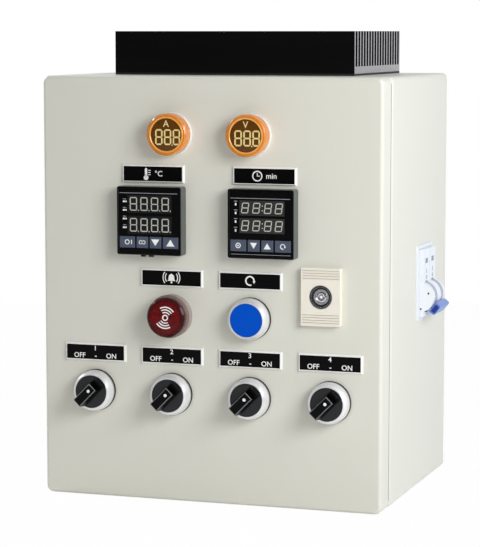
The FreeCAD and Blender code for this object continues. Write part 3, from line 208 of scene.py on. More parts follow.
softbox("front_softbox", (0.74, -0.58, 0.34), 1.1, 0.5, 0.69)
softbox("side_softbox", (0.92, 0.12, 0.4), 1.8, 1.0, 0.14, "#D2E2FF")
softbox("rim_softbox", (-0.87, 0.2, 0.46), 1.7, 0.45, 0.5)

# %% [markdown]
# ## Finishes
#
# Each finish starts from the real material and the way its surface was made. A helper opens a material
# with one shader and the piece's own coordinates, so a pattern stays on its piece when a joint moves.
# Pattern scales are one over a real size in metres. Three more helpers measure on the piece: along its
# depth, away from an axis, and by the direction of a face.

# %% Opening a finish
def open_finish(name, inputs=None):
    """A new material: its tree, its shader and the piece's own coordinates."""
    finish = bpy.data.materials.new(name)
    finish.use_nodes = True
    tree = finish.node_tree
    tree.nodes.clear()
    shader = add_node(tree, "ShaderNodeBsdfPrincipled", inputs)
    add_node(tree, "ShaderNodeOutputMaterial", {"Surface": shader.outputs[0]})
    spot = add_node(tree, "ShaderNodeTexCoord").outputs["Object"]
    return finish, tree, shader, spot


def grain(tree, shader, spot, size_mm, low, high, rough, height_mm):
    """Mottle a shader between two colours and two roughnesses, with a bump of the same grain."""
    cells = add_node(tree, "ShaderNodeTexNoise", {
        "Vector": spot, "Scale": 1 / (size_mm * MM), "Detail": 3.0})
    tint = add_node(tree, "ShaderNodeMix", {
        "Factor": cells.outputs["Fac"], "A": linear(low), "B": linear(high)}, data_type="RGBA")
    gloss = add_node(tree, "ShaderNodeMapRange", {
        "Value": cells.outputs["Fac"], "To Min": rough[0], "To Max": rough[1]})
    relief = add_node(tree, "ShaderNodeBump", {
        "Height": cells.outputs["Fac"], "Strength": 0.6, "Distance": height_mm * MM})
    tree.links.new(tint.outputs["Result"], shader.inputs["Base Color"])
    tree.links.new(gloss.outputs["Result"], shader.inputs["Roughness"])
    tree.links.new(relief.outputs["Normal"], shader.inputs["Normal"])
    return tint


FINISH = {}


def keep(key, finish, shader=None, sources=None):
    """Link the sources to the shader's inputs and keep the finish under its key."""
    tree = finish.node_tree
    for name, source in (sources or {}).items():
        tree.links.new(source, shader.inputs[name])
    FINISH[key] = finish
    print(finish.name, "over", len(tree.nodes), "nodes")


print("finishes are kept by name in FINISH")

# %% Measuring on a piece
def along_depth(tree, spot, start_mm, end_mm):
    """A share that runs from 0 to 1 between two depths along Y."""
    place = add_node(tree, "ShaderNodeSeparateXYZ", {"Vector": spot})
    share = add_node(tree, "ShaderNodeMapRange", {
        "Value": place.outputs["Y"], "From Min": start_mm * MM, "From Max": end_mm * MM})
    return share.outputs["Result"]


def away_from(tree, spot, axis, start_mm, end_mm):
    """A share that runs from 0 to 1 between two distances from an axis along Y at an (x, z) place."""
    flat = add_node(tree, "ShaderNodeVectorMath", {0: spot, 1: (1.0, 0.0, 1.0)}, operation="MULTIPLY")
    middle = (axis[0] * MM, 0.0, axis[1] * MM)
    apart = add_node(tree, "ShaderNodeVectorMath", {0: flat.outputs[0], 1: middle}, operation="DISTANCE")
    share = add_node(tree, "ShaderNodeMapRange", {
        "Value": apart.outputs["Value"], "From Min": start_mm * MM, "From Max": end_mm * MM})
    return share.outputs["Result"]


def face_direction(tree):
    """The X, Y and Z shares of a face's own direction."""
    facing = add_node(tree, "ShaderNodeTexCoord").outputs["Normal"]
    return add_node(tree, "ShaderNodeSeparateXYZ", {"Vector": facing}).outputs


print("depths are measured from y = 0, and the door's front is", round(-DOOR, 2), "mm before it")

# %% [markdown]
# ### Powder coat
#
# Case and door are folded sheet steel, sprayed with a polyester powder that melts into a warm off-white
# skin. A powder coat shows a soft sheen and a faint orange peel about 2 mm across. The peel is a low
# bump, and a slow mottle of a hand's width keeps the large flat faces from looking computed.

# %% Powder coat
finish, tree, shader, spot = open_finish("polyester_powder_coat", {"IOR": 1.5})
tint = grain(tree, shader, spot, 2.2, "#D6D8CC", "#DADBD0", (0.36, 0.44), 0.012)
slow = add_node(tree, "ShaderNodeTexNoise", {"Vector": spot, "Scale": 1 / (70 * MM), "Detail": 2.0})
warm = add_node(tree, "ShaderNodeMix", {
    "Factor": slow.outputs["Fac"], "A": tint.outputs["Result"], "B": linear("#DBD9CF")}, data_type="RGBA")
keep("powder_coat", finish, shader, {"Base Color": warm.outputs["Result"]})

# %% [markdown]
# ### Metals
#
# Zinc-plated steel is a cool grey with faint rolling lines. The heat sink is an aluminium extrusion
# that was anodised black and then sawn to length, so its fin ends are bare and bright: the finish looks
# at the face's own direction to tell a sawn end. The switch rings are aluminium with a satin oxide
# skin, which scatters part of the light, and their foot is painted dark grey as painted shade. The lock's
# insert is a zinc casting, turned on a lathe.

# %% Plain metals
METALS = {
    # name: material name, dark and light tone, roughness range, grain size and height in mm, stretch
    "zinc": ("zinc_plated_steel", "#A9ACAE", "#C6C8C8", (0.3, 0.46), 1.2, 0.01, (1.0, 1.0, 0.06)),
    "lock_zinc": ("turned_zinc_casting", "#B6B5BA", "#ECEBEE", (0.14, 0.26), 1.1, 0.03, (1.0, 1.0, 1.0)),
    # a dark ring on the lock's rim, a painted reflection
    "gunmetal": ("dark_metal_painted_reflection", "#38373B", "#6A696E", (0.18, 0.3), 1.4, 0.02, (1.0, 1.0, 1.0)),
    "brass": ("drawn_brass", "#B08A45", "#D2AE66", (0.26, 0.4), 0.9, 0.01, (0.08, 1.0, 1.0)),
}
for key, (name, dark, light, rough, size, height, stretch) in METALS.items():
    finish, tree, shader, spot = open_finish(name, {"Metallic": 1.0})
    streak = add_node(tree, "ShaderNodeMapping", {"Vector": spot, "Scale": stretch})
    grain(tree, shader, streak.outputs[0], size, dark, light, rough, height)
    keep(key, finish)

# %% Black anodised aluminium with sawn ends
finish, tree, shader, spot = open_finish("black_anodised_aluminium", {"Specular IOR Level": 0.12})
lines = add_node(tree, "ShaderNodeMapping", {"Vector": spot, "Scale": (0.03, 1.0, 1.0)})
die = add_node(tree, "ShaderNodeTexNoise", {
    "Vector": lines.outputs[0], "Scale": 1 / (0.8 * MM), "Detail": 2.0})
across = add_node(tree, "ShaderNodeMath", {0: face_direction(tree)["X"]}, operation="ABSOLUTE")
sawn = add_node(tree, "ShaderNodeMath", {0: across.outputs[0], 1: 0.8}, operation="GREATER_THAN")
skin = add_node(tree, "ShaderNodeMix", {
    "Factor": die.outputs["Fac"], "A": linear("#030303"), "B": linear("#070708")}, data_type="RGBA")
cut = add_node(tree, "ShaderNodeMix", {
    "Factor": die.outputs["Fac"], "A": linear("#908F93"), "B": linear("#C8C7CA")}, data_type="RGBA")
both = add_node(tree, "ShaderNodeMix", {
    "Factor": sawn.outputs[0], "A": skin.outputs["Result"], "B": cut.outputs["Result"]}, data_type="RGBA")
gloss = add_node(tree, "ShaderNodeMapRange", {"Value": die.outputs["Fac"], "To Min": 0.42, "To Max": 0.58})
relief = add_node(tree, "ShaderNodeBump", {
    "Height": die.outputs["Fac"], "Strength": 0.4, "Distance": 0.02 * MM})
keep("anodised", finish, shader, {"Base Color": both.outputs["Result"], "Metallic": sawn.outputs[0],
                                  "Roughness": gloss.outputs["Result"],
                                  "Normal": relief.outputs["Normal"]})

# %% Satin rings
finish, tree, shader, spot = open_finish("satin_anodised_aluminium", {"Metallic": 0.5})
tint = grain(tree, shader, spot, 1.6, "#E6E6E9", "#F3F3F5", (0.3, 0.4), 0.006)
# Painted shade: the ring's foot, next to the door, turns dark grey.
shaded_foot = along_depth(tree, spot, DOOR - 4.2, DOOR - 1.5)
grey = add_node(tree, "ShaderNodeMix", {
    "Factor": shaded_foot, "A": tint.outputs["Result"], "B": linear("#6A6664")}, data_type="RGBA")
keep("satin", finish, shader, {"Base Color": grey.outputs["Result"]})

# %% [markdown]
# ### Moulded plastics
#
# Frames, caps and blocks are moulded in ABS or polyamide, and seals are rubber or foam. The mould is
# spark-eroded, which leaves a fine matt grain of about 0.2 mm; that is finer than a pixel here, so it
# is drawn at 0.5 mm or more to show as a soft sparkle. A table holds each one's two tones, its
# roughness and its grain.

# %% Moulded plastics
PLASTICS = {
    # name: material name, dark and light tone, roughness range, grain size and height in mm, mirror level
    "black_abs": ("black_abs_spark_eroded", "#0A0A0C", "#141416", (0.34, 0.44), 0.6, 0.012, 0.35),
    "frame_grey": ("charcoal_abs_moulded", "#1C1E1F", "#262929", (0.3, 0.4), 0.7, 0.015, 0.3),
    "breaker_white": ("white_polyamide_moulded", "#DCE1E8", "#E8ECF1", (0.4, 0.5), 0.8, 0.015, 0.5),
    "housing_white": ("white_abs_moulded", "#E6E6E4", "#F0F0EE", (0.3, 0.4), 0.8, 0.01, 0.5),
    # a navy patch in the toggle's hollow end, painted shade
    "toggle_navy": ("navy_painted_recess_shade", "#14266E", "#22388C", (0.34, 0.44), 0.7, 0.012, 0.3),
    "cap_blue": ("blue_abs_satin", "#0049BE", "#0054CA", (0.3, 0.38), 0.9, 0.008, 0.06),
    "block_grey": ("grey_polyamide_moulded", "#6E7378", "#82878B", (0.44, 0.54), 0.9, 0.02, 0.5),
    "key_slate": ("slate_silicone_keys", "#444C5E", "#525B6E", (0.42, 0.52), 0.5, 0.012, 0.3),
    "rubber": ("black_epdm_rubber", "#18181A", "#242426", (0.6, 0.74), 0.7, 0.02, 0.3),
    # a grey strip in the seam between door and case, painted shade
    "seam_shade_grey": ("grey_painted_seam_shade", "#50504B", "#5E5E58", (0.6, 0.74), 0.7, 0.02, 0.3),
    "foam": ("black_cell_foam", "#141414", "#2A2A2A", (0.8, 0.92), 1.4, 0.25, 0.3),
}
for key, (name, dark, light, rough, size, height, mirror) in PLASTICS.items():
    finish, tree, shader, spot = open_finish(name, {"IOR": 1.53, "Specular IOR Level": mirror})
    grain(tree, shader, spot, size, dark, light, rough, height)
    FINISH[key] = finish
print(len(PLASTICS), "moulded plastics")

# %% [markdown]
# ### Plastics in two tones
#
# The breaker's toggle is a white drum with a blue handle, moulded as one. The buzzer's smoke grey base
# turns dark red towards its lens, a painted glow of the lens. A selector knob has a charcoal disc and a
# black handle, and the handle's rounded edges are lightened as a painted highlight. A controller's case
# is charcoal at its sides and black round the front, and the lock's cream housing is darkened in its
# grooves as painted shade. Edges and fronts are found by a face's direction, the knob's handle, the
# grooves and the painted glow by depth, and the toggle's handle by its distance from the axis.

# %% Toggle
DRUM_RADIUS = 11.2
finish, tree, shader, spot = open_finish("blue_and_white_polyamide_toggle", {"IOR": 1.53})
tint = grain(tree, shader, spot, 0.7, "#4A6FC0", "#6285CE", (0.28, 0.36), 0.012)
handle = away_from(tree, spot, TOGGLE_AXIS, DRUM_RADIUS, DRUM_RADIUS + 0.4)
drum = add_node(tree, "ShaderNodeMix", {
    "Factor": handle, "A": linear("#9AA3B4"), "B": tint.outputs["Result"]}, data_type="RGBA")
keep("toggle_blue", finish, shader, {"Base Color": drum.outputs["Result"]})

# %% Buzzer base
finish, tree, shader, spot = open_finish("smoke_polycarbonate_base", {
    "IOR": 1.585, "Specular IOR Level": 0.5})
tint = grain(tree, shader, spot, 0.8, "#928882", "#A39993", (0.16, 0.24), 0.01)
# Painted glow: towards the red lens the smoke base turns dark red.
glow = along_depth(tree, spot, DOOR - 4.5, DOOR - 11.5)
painted_red_glow = add_node(tree, "ShaderNodeMix", {
    "Factor": glow, "A": tint.outputs["Result"], "B": linear("#5E2524")}, data_type="RGBA")
keep("alarm_smoke", finish, shader, {"Base Color": painted_red_glow.outputs["Result"]})

# %% Selector knob
finish, tree, shader, spot = open_finish("charcoal_and_black_abs_knob", {"IOR": 1.53})
tint = grain(tree, shader, spot, 0.6, "#1B1C1E", "#27282A", (0.3, 0.38), 0.006)
high = along_depth(tree, spot, DOOR - 11.2, DOOR - 12.2)
bar = add_node(tree, "ShaderNodeMix", {
    "Factor": high, "A": tint.outputs["Result"], "B": linear("#030304")}, data_type="RGBA")
# Painted highlight: the handle's rounded edges, found by the way they face, are lightened to grey.
edge = add_node(tree, "ShaderNodeMath", {
    0: face_direction(tree)["Y"], 1: -0.66, 2: 0.26}, operation="COMPARE")
edge_highlight = add_node(tree, "ShaderNodeMath", {0: edge.outputs[0], 1: high}, operation="MULTIPLY")
knob = add_node(tree, "ShaderNodeMix", {
    "Factor": edge_highlight.outputs[0], "A": bar.outputs["Result"], "B": linear("#77797C")}, data_type="RGBA")
mirror = add_node(tree, "ShaderNodeMapRange", {"Value": high, "To Min": 0.3, "To Max": 0.1})
keep("knob", finish, shader, {
    "Base Color": knob.outputs["Result"], "Specular IOR Level": mirror.outputs["Result"]})

# %% Controller case
finish, tree, shader, spot = open_finish("black_and_charcoal_abs_case", {"IOR": 1.53})
tint = grain(tree, shader, spot, 0.7, "#444748", "#505353", (0.24, 0.34), 0.015)
front = add_node(tree, "ShaderNodeMapRange", {
    "Value": face_direction(tree)["Y"], "From Min": -0.5, "From Max": -0.9}).outputs["Result"]
case = add_node(tree, "ShaderNodeMix", {
    "Factor": front, "A": tint.outputs["Result"], "B": linear("#040405")}, data_type="RGBA")
mirror = add_node(tree, "ShaderNodeMapRange", {"Value": front, "To Min": 0.5, "To Max": 0.12})
keep("case_black", finish, shader, {
    "Base Color": case.outputs["Result"], "Specular IOR Level": mirror.outputs["Result"]})

# %% Lock housing
plate_front = front_of("lock_housing")
finish, tree, shader, spot = open_finish("cream_polyamide_with_painted_groove_shade", {"IOR": 1.53})
tint = grain(tree, shader, spot, 0.8, "#E8E2D4", "#F2EDE1", (0.38, 0.48), 0.015)
# Painted shade: the front-facing floors of the grip grooves are darkened.
deep = along_depth(tree, spot, plate_front + 0.2, plate_front + 0.5)
level = add_node(tree, "ShaderNodeMath", {0: face_direction(tree)["Y"], 1: -0.9}, operation="LESS_THAN")
groove_floor_mask = add_node(tree, "ShaderNodeMath", {0: deep, 1: level.outputs[0]}, operation="MULTIPLY")
groove_shade = add_node(tree, "ShaderNodeMix", {
    "Factor": groove_floor_mask.outputs[0], "A": tint.outputs["Result"], "B": linear("#B8B09F")}, data_type="RGBA")
keep("lock_cream", finish, shader, {"Base Color": groove_shade.outputs["Result"]})

# %% [markdown]
# ### Clear and coloured lenses
#
# The meters have amber polycarbonate caps, moulded clear through: the edge lights up and the window
# looks brown over a dark display. The buzzer's red cap is a prism lens, and its many small facets break
# up the reflections. A little subsurface light gives the glow of a coloured plastic, and a smooth coat
# gives its gloss.

# %% Amber lenses
finish, tree, shader, spot = open_finish("amber_polycarbonate_cap", {
    "IOR": 1.585, "Coat Weight": 0.25, "Coat Roughness": 0.08, "Subsurface Weight": 0.35,
    "Subsurface Radius": (1.0, 0.35, 0.1), "Subsurface Scale": 0.003})
grain(tree, shader, spot, 4.0, "#D0760C", "#E29030", (0.16, 0.26), 0.01)
keep("amber", finish)

finish, tree, shader, spot = open_finish("amber_polycarbonate_rim", {
    "IOR": 1.585, "Coat Weight": 0.25, "Coat Roughness": 0.08})
grain(tree, shader, spot, 4.0, "#E69A3A", "#F2B058", (0.16, 0.26), 0.01)
keep("amber_rim", finish)

finish, tree, shader, spot = open_finish("amber_window_over_display", {
    "IOR": 1.585, "Specular IOR Level": 0.2})
grain(tree, shader, spot, 3.0, "#522E06", "#663D0C", (0.24, 0.34), 0.004)
keep("amber_window", finish)

# %% Red prism lens
BUZZER = (COLUMNS[1], BUTTON_ROW)
finish, tree, shader, spot = open_finish("red_prism_polycarbonate", {
    "IOR": 1.585, "Specular IOR Level": 0.12, "Coat Weight": 0.12, "Coat Roughness": 0.04})
prism = add_node(tree, "ShaderNodeTexVoronoi", {"Vector": spot, "Scale": 1 / (2.4 * MM)}, feature="F1")
tint = add_node(tree, "ShaderNodeMix", {"Factor": prism.outputs["Distance"], "A": linear("#7E0A0E"),
                                        "B": linear("#3C0305")}, data_type="RGBA")
edge = away_from(tree, spot, BUZZER, 9.5, 13.5)
tint = add_node(tree, "ShaderNodeMix", {
    "Factor": edge, "A": tint.outputs["Result"], "B": linear("#2E0204")}, data_type="RGBA")
gloss = add_node(tree, "ShaderNodeMapRange", {
    "Value": prism.outputs["Distance"], "To Min": 0.16, "To Max": 0.34})
relief = add_node(tree, "ShaderNodeBump", {
    "Height": prism.outputs["Distance"], "Strength": 0.3, "Distance": 0.2 * MM})
keep("red", finish, shader, {"Base Color": tint.outputs["Result"], "Roughness": gloss.outputs["Result"],
                             "Normal": relief.outputs["Normal"]})

# %% [markdown]
# ### Films, inks and laminate
#
# The controllers' fronts are black polycarbonate film with a hard gloss, and their unlit digits look
# grey through it. The legend plates are engraving laminate: a thin black skin on a white core, which
# shows wherever the edge is bevelled. Letters and signs are white screen ink.

# %% Films and inks
INKS = {
    # name: material name, dark and light tone, roughness range, grain size and height in mm
    "front_film": ("black_polycarbonate_film", "#040405", "#09090B", (0.14, 0.22), 2.0, 0.004),
    "display_dark": ("smoked_display_window", "#161819", "#1E2021", (0.2, 0.28), 2.0, 0.004),
    "display_grey": ("smoked_display_window_light", "#2C2D2C", "#363735", (0.2, 0.28), 2.0, 0.004),
    "segment_grey": ("unlit_display_segment", "#B9B8B0", "#C9C8C0", (0.4, 0.5), 1.0, 0.004),
    "segment_cream": ("cream_display_segment", "#E2CC82", "#EAD898", (0.4, 0.5), 1.0, 0.004),
    "line_grey": ("grey_screen_ink", "#8B8C92", "#9A9BA0", (0.45, 0.55), 0.8, 0.004),
    "ink_white": ("white_screen_ink", "#ECECEA", "#F6F6F4", (0.5, 0.6), 0.8, 0.006),
    "ink_dark": ("dark_screen_ink", "#2B2D31", "#383A3F", (0.5, 0.6), 0.8, 0.006),
}
for key, (name, dark, light, rough, size, height) in INKS.items():
    finish, tree, shader, spot = open_finish(name, {"IOR": 1.5, "Specular IOR Level": 0.25})
    grain(tree, shader, spot, size, dark, light, rough, height)
    FINISH[key] = finish
print(len(INKS), "films and inks")

# %% Engraving laminate
finish, tree, shader, spot = open_finish("black_on_white_engraving_laminate", {"Specular IOR Level": 0.1})
front = add_node(tree, "ShaderNodeMath", {0: face_direction(tree)["Y"], 1: -0.97}, operation="LESS_THAN")
cells = add_node(tree, "ShaderNodeTexNoise", {"Vector": spot, "Scale": 1 / (0.8 * MM), "Detail": 3.0})
core = add_node(tree, "ShaderNodeMix", {
    "Factor": cells.outputs["Fac"], "A": linear("#E6E6E2"), "B": linear("#F4F4F1")}, data_type="RGBA")
skin = add_node(tree, "ShaderNodeMix", {
    "Factor": cells.outputs["Fac"], "A": linear("#020202"), "B": linear("#060606")}, data_type="RGBA")
both = add_node(tree, "ShaderNodeMix", {"Factor": front.outputs[0], "A": core.outputs["Result"],
                                        "B": skin.outputs["Result"]}, data_type="RGBA")
gloss = add_node(tree, "ShaderNodeMapRange", {
    "Value": cells.outputs["Fac"], "To Min": 0.28, "To Max": 0.4})
keep("laminate", finish, shader, {
    "Base Color": both.outputs["Result"], "Roughness": gloss.outputs["Result"]})
print(len(FINISH), "finishes in all")

# %% [markdown]
# ## Dressing the CAD nodes
#
# Every CAD node keeps its shape and takes one of the finishes. Assigning to the object's material slot
# leaves its mesh alone.

# %% Dress the CAD nodes
DRESS = {
    "powder_coat": ["enclosure_body", "door_panel", "hinge_case_leaves", "hinge_door_leaves"],
    "zinc": ["mounting_plate", "plate_studs", "plate_nuts", "gland_plate", "gland_screws", "breaker_rail",
             "breaker_bracket", "terminal_rail", "pan_screws", "hinge_pins", "lock_cam", "lock_cam_screw",
             "lock_clip"],
    "anodised": ["heat_sink"],
    "satin": ["selector_rings", "reset_ring"],
    "lock_zinc": ["lock_insert"],
    "brass": ["ground_bar"],
    "knob": ["selector_knob_%d" % number for number in (1, 2, 3, 4)],
    "black_abs": ["current_transformer", "controller_brackets"],
    "frame_grey": ["panel_nuts"],
    "case_black": ["temperature_case", "timer_case"],
    "front_film": ["temperature_face", "timer_face"],
    "breaker_white": ["breaker_housing"],
    "housing_white": ["meter_housings"],
    "toggle_blue": ["breaker_toggle"],
    "cap_blue": ["reset_cap"],
    "lock_cream": ["lock_housing"],
    "block_grey": ["terminal_blocks", "terminal_end_stops", "contact_blocks", "solid_state_relays"],
    "key_slate": ["%s_key_%d" % (name, n) for name in ("temperature", "timer") for n in (1, 2, 3, 4)],
    "rubber": ["gland_gasket", "cable_grommets", "heat_sink_gasket", "switch_seals"],
    "foam": ["door_gasket"],
    "alarm_smoke": ["alarm_base"],
    "amber": ["meter_lenses"],
    "red": ["alarm_lens"],
    "laminate": ["legend_plates"],
}
for key, names in DRESS.items():
    for name in names:
        for holder in nodes[name].material_slots:
            holder.material = FINISH[key]
bare = sorted(set(nodes) - {name for names in DRESS.values() for name in names})
print("nodes without a finish:", bare)

# %% [markdown]
# ## Mesh helpers for the details
#
# Printing, digits and signs are real, very thin solids standing on their faces. One helper turns flat
# outlines into closed prisms, a second turns a profile on a lathe, and a third cuts letters from
# Blender's own typeface. All sizes go in as millimetres.

# %% Prisms and turned pieces
TO_SPACE = {
    # facing: (u, v, level) to (x, y, z), and the sign of the way into the piece
    "-Y": (lambda u, v, w: (u, w, v), 1),
    "+Y": (lambda u, v, w: (u, w, v), -1),
    "+X": (lambda u, v, w: (w, u, v), -1),
}


def add_piece(name, shape, body, finish):
    """Close a bmesh into a named piece that rides on a CAD body."""
    bmesh.ops.recalc_face_normals(shape, faces=shape.faces)
    mesh = bpy.data.meshes.new(name)
    shape.to_mesh(mesh)
    shape.free()
    mesh.materials.append(FINISH[finish])
    piece = bpy.data.objects.new(name, mesh)
    bpy.context.scene.collection.objects.link(piece)
    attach(piece, body)
    return piece


def prisms(name, outlines, front, depth, body, finish, facing="-Y"):
    """Closed prisms from flat outlines, their fronts at one level."""
    place, inward = TO_SPACE[facing]
    shape = bmesh.new()
    for outline in outlines:
        near = [shape.verts.new(Vector(place(u, v, front)) * MM) for u, v in outline]
        far = [shape.verts.new(Vector(place(u, v, front + depth * inward)) * MM) for u, v in outline]
        shape.faces.new(near)
        shape.faces.new(far[::-1])
        for i in range(len(near)):
            j = (i + 1) % len(near)
            shape.faces.new((near[j], near[i], far[i], far[j]))
    add_piece(name, shape, body, finish)


def lathe(name, profile, level, centres, body, finish, steps=56):
    """A closed (radius, way along Y from a level) profile turned about each (x, z) centre."""
    shape = bmesh.new()
    for x, z in centres:
        rings = []
        for radius, way in profile:
            turns = steps if radius > 0 else 1
            angles = [2 * math.pi * k / turns for k in range(turns)]
            points = [(x + radius * math.cos(a), level + way, z + radius * math.sin(a)) for a in angles]
            rings.append([shape.verts.new(Vector(point) * MM) for point in points])
        for a, b in zip(rings, rings[1:] + rings[:1]):
            if len(a) == len(b) == 1:
                continue
            for k in range(steps):
                corners = [a[k % len(a)], a[(k + 1) % len(a)], b[(k + 1) % len(b)], b[k % len(b)]]
                shape.faces.new(list(dict.fromkeys(corners)))
    for face in shape.faces:
        face.smooth = True
    piece = add_piece(name, shape, body, finish)
    piece.data.set_sharp_from_angle(angle=math.radians(32))


print("prisms can face", list(TO_SPACE))

# %% Letters
LETTER_HALF = 0.06


def letters(name, words, size, x, z, front, body, finish):
    """Words as thin solid letters on a face that looks to the front."""
    curve = bpy.data.curves.new(name + "_line", "FONT")
    curve.body = words
    curve.size = size * MM
    curve.extrude = LETTER_HALF * MM
    curve.offset = 0.05 * MM
    curve.align_x = "CENTER"
    curve.align_y = "CENTER"
    curve.resolution_u = 3
    holder = bpy.data.objects.new(name + "_line", curve)
    bpy.context.scene.collection.objects.link(holder)
    solid = holder.evaluated_get(bpy.context.evaluated_depsgraph_get())
    mesh = bpy.data.meshes.new_from_object(solid)
    bpy.data.objects.remove(holder)
    shape = bmesh.new()
    shape.from_mesh(mesh)
    bpy.data.meshes.remove(mesh)
    bmesh.ops.remove_doubles(shape, verts=shape.verts, dist=0.005 * MM)
    turn = Matrix.Translation(Vector((x, front, z)) * MM) @ Matrix.Rotation(math.radians(90), 4, "X")
    bmesh.ops.transform(shape, matrix=turn, verts=shape.verts)
    add_piece(name, shape, body, finish)


print("letters are", 2 * LETTER_HALF, "mm thick")

# %% Flat outlines
def block(x, z, width, height):
    """Outline of a rectangle about its middle."""
    return [(x - width / 2, z - height / 2), (x + width / 2, z - height / 2),
            (x + width / 2, z + height / 2), (x - width / 2, z + height / 2)]


def band(x, z, inner, outer, start, end, steps=20):
    """Outline of a curved stripe about a middle, its angles in degrees from level."""
    angles = [math.radians(start + (end - start) * k / steps) for k in range(steps + 1)]
    outside = [(x + outer * math.cos(a), z + outer * math.sin(a)) for a in angles]
    inside = [(x + inner * math.cos(a), z + inner * math.sin(a)) for a in angles]
    return outside + inside[::-1]


def ring(x, z, inner, outer):
    """Outlines of the two halves of a ring."""
    return [band(x, z, inner, outer, 0, 180), band(x, z, inner, outer, 180, 360)]


def disc(x, z, radius, steps=28):
    """Outline of a disc."""
    angles = [2 * math.pi * k / steps for k in range(steps)]
    return [(x + radius * math.cos(a), z + radius * math.sin(a)) for a in angles]


def digit(x, z, width, height, stroke, lean=0.0):
    """Seven pointed bars of a display digit."""
    side = (width - stroke) / 2
    half = (height - stroke) / 2
    gap = stroke * 0.12
    nib = stroke / 2
    bars = []
    for level in (-half, 0, half):
        bars.append([(-side + gap, level), (-side + gap + nib, level + nib),
                     (side - gap - nib, level + nib), (side - gap, level),
                     (side - gap - nib, level - nib), (-side + gap + nib, level - nib)])
    for edge in (-side, side):
        for low, high in ((-half, 0), (0, half)):
            bars.append([(edge, low + gap), (edge + nib, low + gap + nib),
                         (edge + nib, high - gap - nib), (edge, high - gap),
                         (edge - nib, high - gap - nib), (edge - nib, low + gap + nib)])
    slope = math.tan(math.radians(lean))
    return [[(x + u + v * slope, z + v) for u, v in bar] for bar in bars]


print("a digit has", len(digit(0, 0, 5, 9, 1)), "bars")

# %% [markdown]
# ## Painted shade between door and case
#
# A grey strip of painted shade lies on the rounded front edge of the case and stops just short of the
# door, so the seam shows as a grey line. It is a closed loop, and it stays on the case when the door
# opens. The hinge pins lie midway in the gap, which gives the front of the case from the back of the door.

# %% Painted shade between door and case
CORNER = 5.5
case_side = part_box("enclosure_body")[1].x / MM
case_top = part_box("enclosure_body")[1].z / MM
door_back = back_of("door_panel")
hinge_axis = (front_of("hinge_pins") + back_of("hinge_pins")) / 2
case_front = 2 * hinge_axis - door_back


def rounded(inset):
    """Points round the outline of the case, so many millimetres inside it, with rounded corners."""
    points = []
    radius = CORNER - inset
    corners = ((case_side, case_top), (-case_side, case_top), (-case_side, 0), (case_side, 0))
    for number, (x, z) in enumerate(corners):
        middle = (x - math.copysign(CORNER, x), z + (CORNER if z == 0 else -CORNER))
        for k in range(9):
            angle = math.radians(90 * (number + k / 8))
            points.append((middle[0] + radius * math.cos(angle), middle[1] + radius * math.sin(angle)))
    return points


# Painted shade: a grey strip round the seam, where the gap between door and case lies in shade.
shape = bmesh.new()
loops = []
for inset, y in ((1.0, case_front + 1.6), (1.0, door_back + 0.5), (1.3, door_back + 0.3),
                 (4.4, door_back + 0.3), (4.4, case_front + 0.1)):
    loops.append([shape.verts.new(Vector((x, y, z)) * MM) for x, z in rounded(inset)])
for a, b in zip(loops, loops[1:] + loops[:1]):
    for k in range(len(a)):
        shape.faces.new((a[k], a[(k + 1) % len(a)], b[(k + 1) % len(b)], b[k]))
add_piece("seam_painted_shade", shape, "enclosure", "seam_shade_grey")
print("painted seam shade in the gap from", round(door_back, 2), "to", round(case_front, 2), "mm")

# %% [markdown]
# ## Round meters
#
# Under each amber cap sits a dark display with three large digits and the sign of its unit. The cap's
# window has a raised rim, so the rim and the window are turned on the lathe helper, and the digits are
# prisms on the window.

# %% Round meters
METERS = [(COLUMNS[1], METER_ROW), (COLUMNS[2], METER_ROW)]
cap_front = front_of("meter_lenses")
window_front = cap_front + 0.3
lathe("meter_windows", [(0, 0), (10.9, 0), (11.35, 0.15), (11.35, 0.34), (0, 0.34)], window_front, METERS,
      "door", "amber_window")
lathe("meter_rims",
      [(11.3, 0.5), (11.45, -0.1), (11.75, -0.35), (12.25, -0.35), (12.5, -0.1), (12.55, 0.3)],
      cap_front, METERS, "door", "amber_rim")
bars = []
for x, z in METERS:
    for n in (-1, 0, 1):
        bars += digit(x + 1.2 + n * 6.5, z - 1.7, 5.5, 11.0, 1.1)
    bars.append(disc(x + 4.5, z - 7.1, 0.5, 12))
prisms("meter_digits", bars, window_front - 0.08, 0.1, "door", "segment_cream")
for sign, (x, z) in zip("AV", METERS):
    letters("meter_unit_" + sign, sign, 6.4, x, z + 7.4, window_front - 0.06, "door", "segment_cream")
print(len(bars), "bars and dots on the meters")

# %% [markdown]
# ## Controllers
#
# Both square controllers show two rows of four unlit digits, thin printed lines and small lamp marks on
# the left, all modelled as prisms that stand a tenth of a millimetre or less proud of the film. The
# timer's digits lean and have a colon, and its two display windows are a lighter grey. The other
# controller has two small moulded tabs under its front.

# %% Temperature controller
FILM = front_of("temperature_face")
HALF_FACE = 24


def on_face(middle, u, v):
    """A point of a controller's front from its left and top edges."""
    return middle - HALF_FACE + u, CONTROLLER_ROW + HALF_FACE - v


def face_print(name, windows, display, digits, marks, lines):
    """A controller's printing, each kind standing a little proud of its film."""
    for key, outlines, rise, depth, finish in (
            ("windows", windows, 0.05, 0.08, display), ("digits", digits, 0.1, 0.08, "segment_grey"),
            ("marks", marks, 0.08, 0.1, "ink_white"), ("lines", lines, 0.08, 0.1, "line_grey")):
        prisms(name + "_" + key, outlines, FILM - rise, depth, "door", finish)


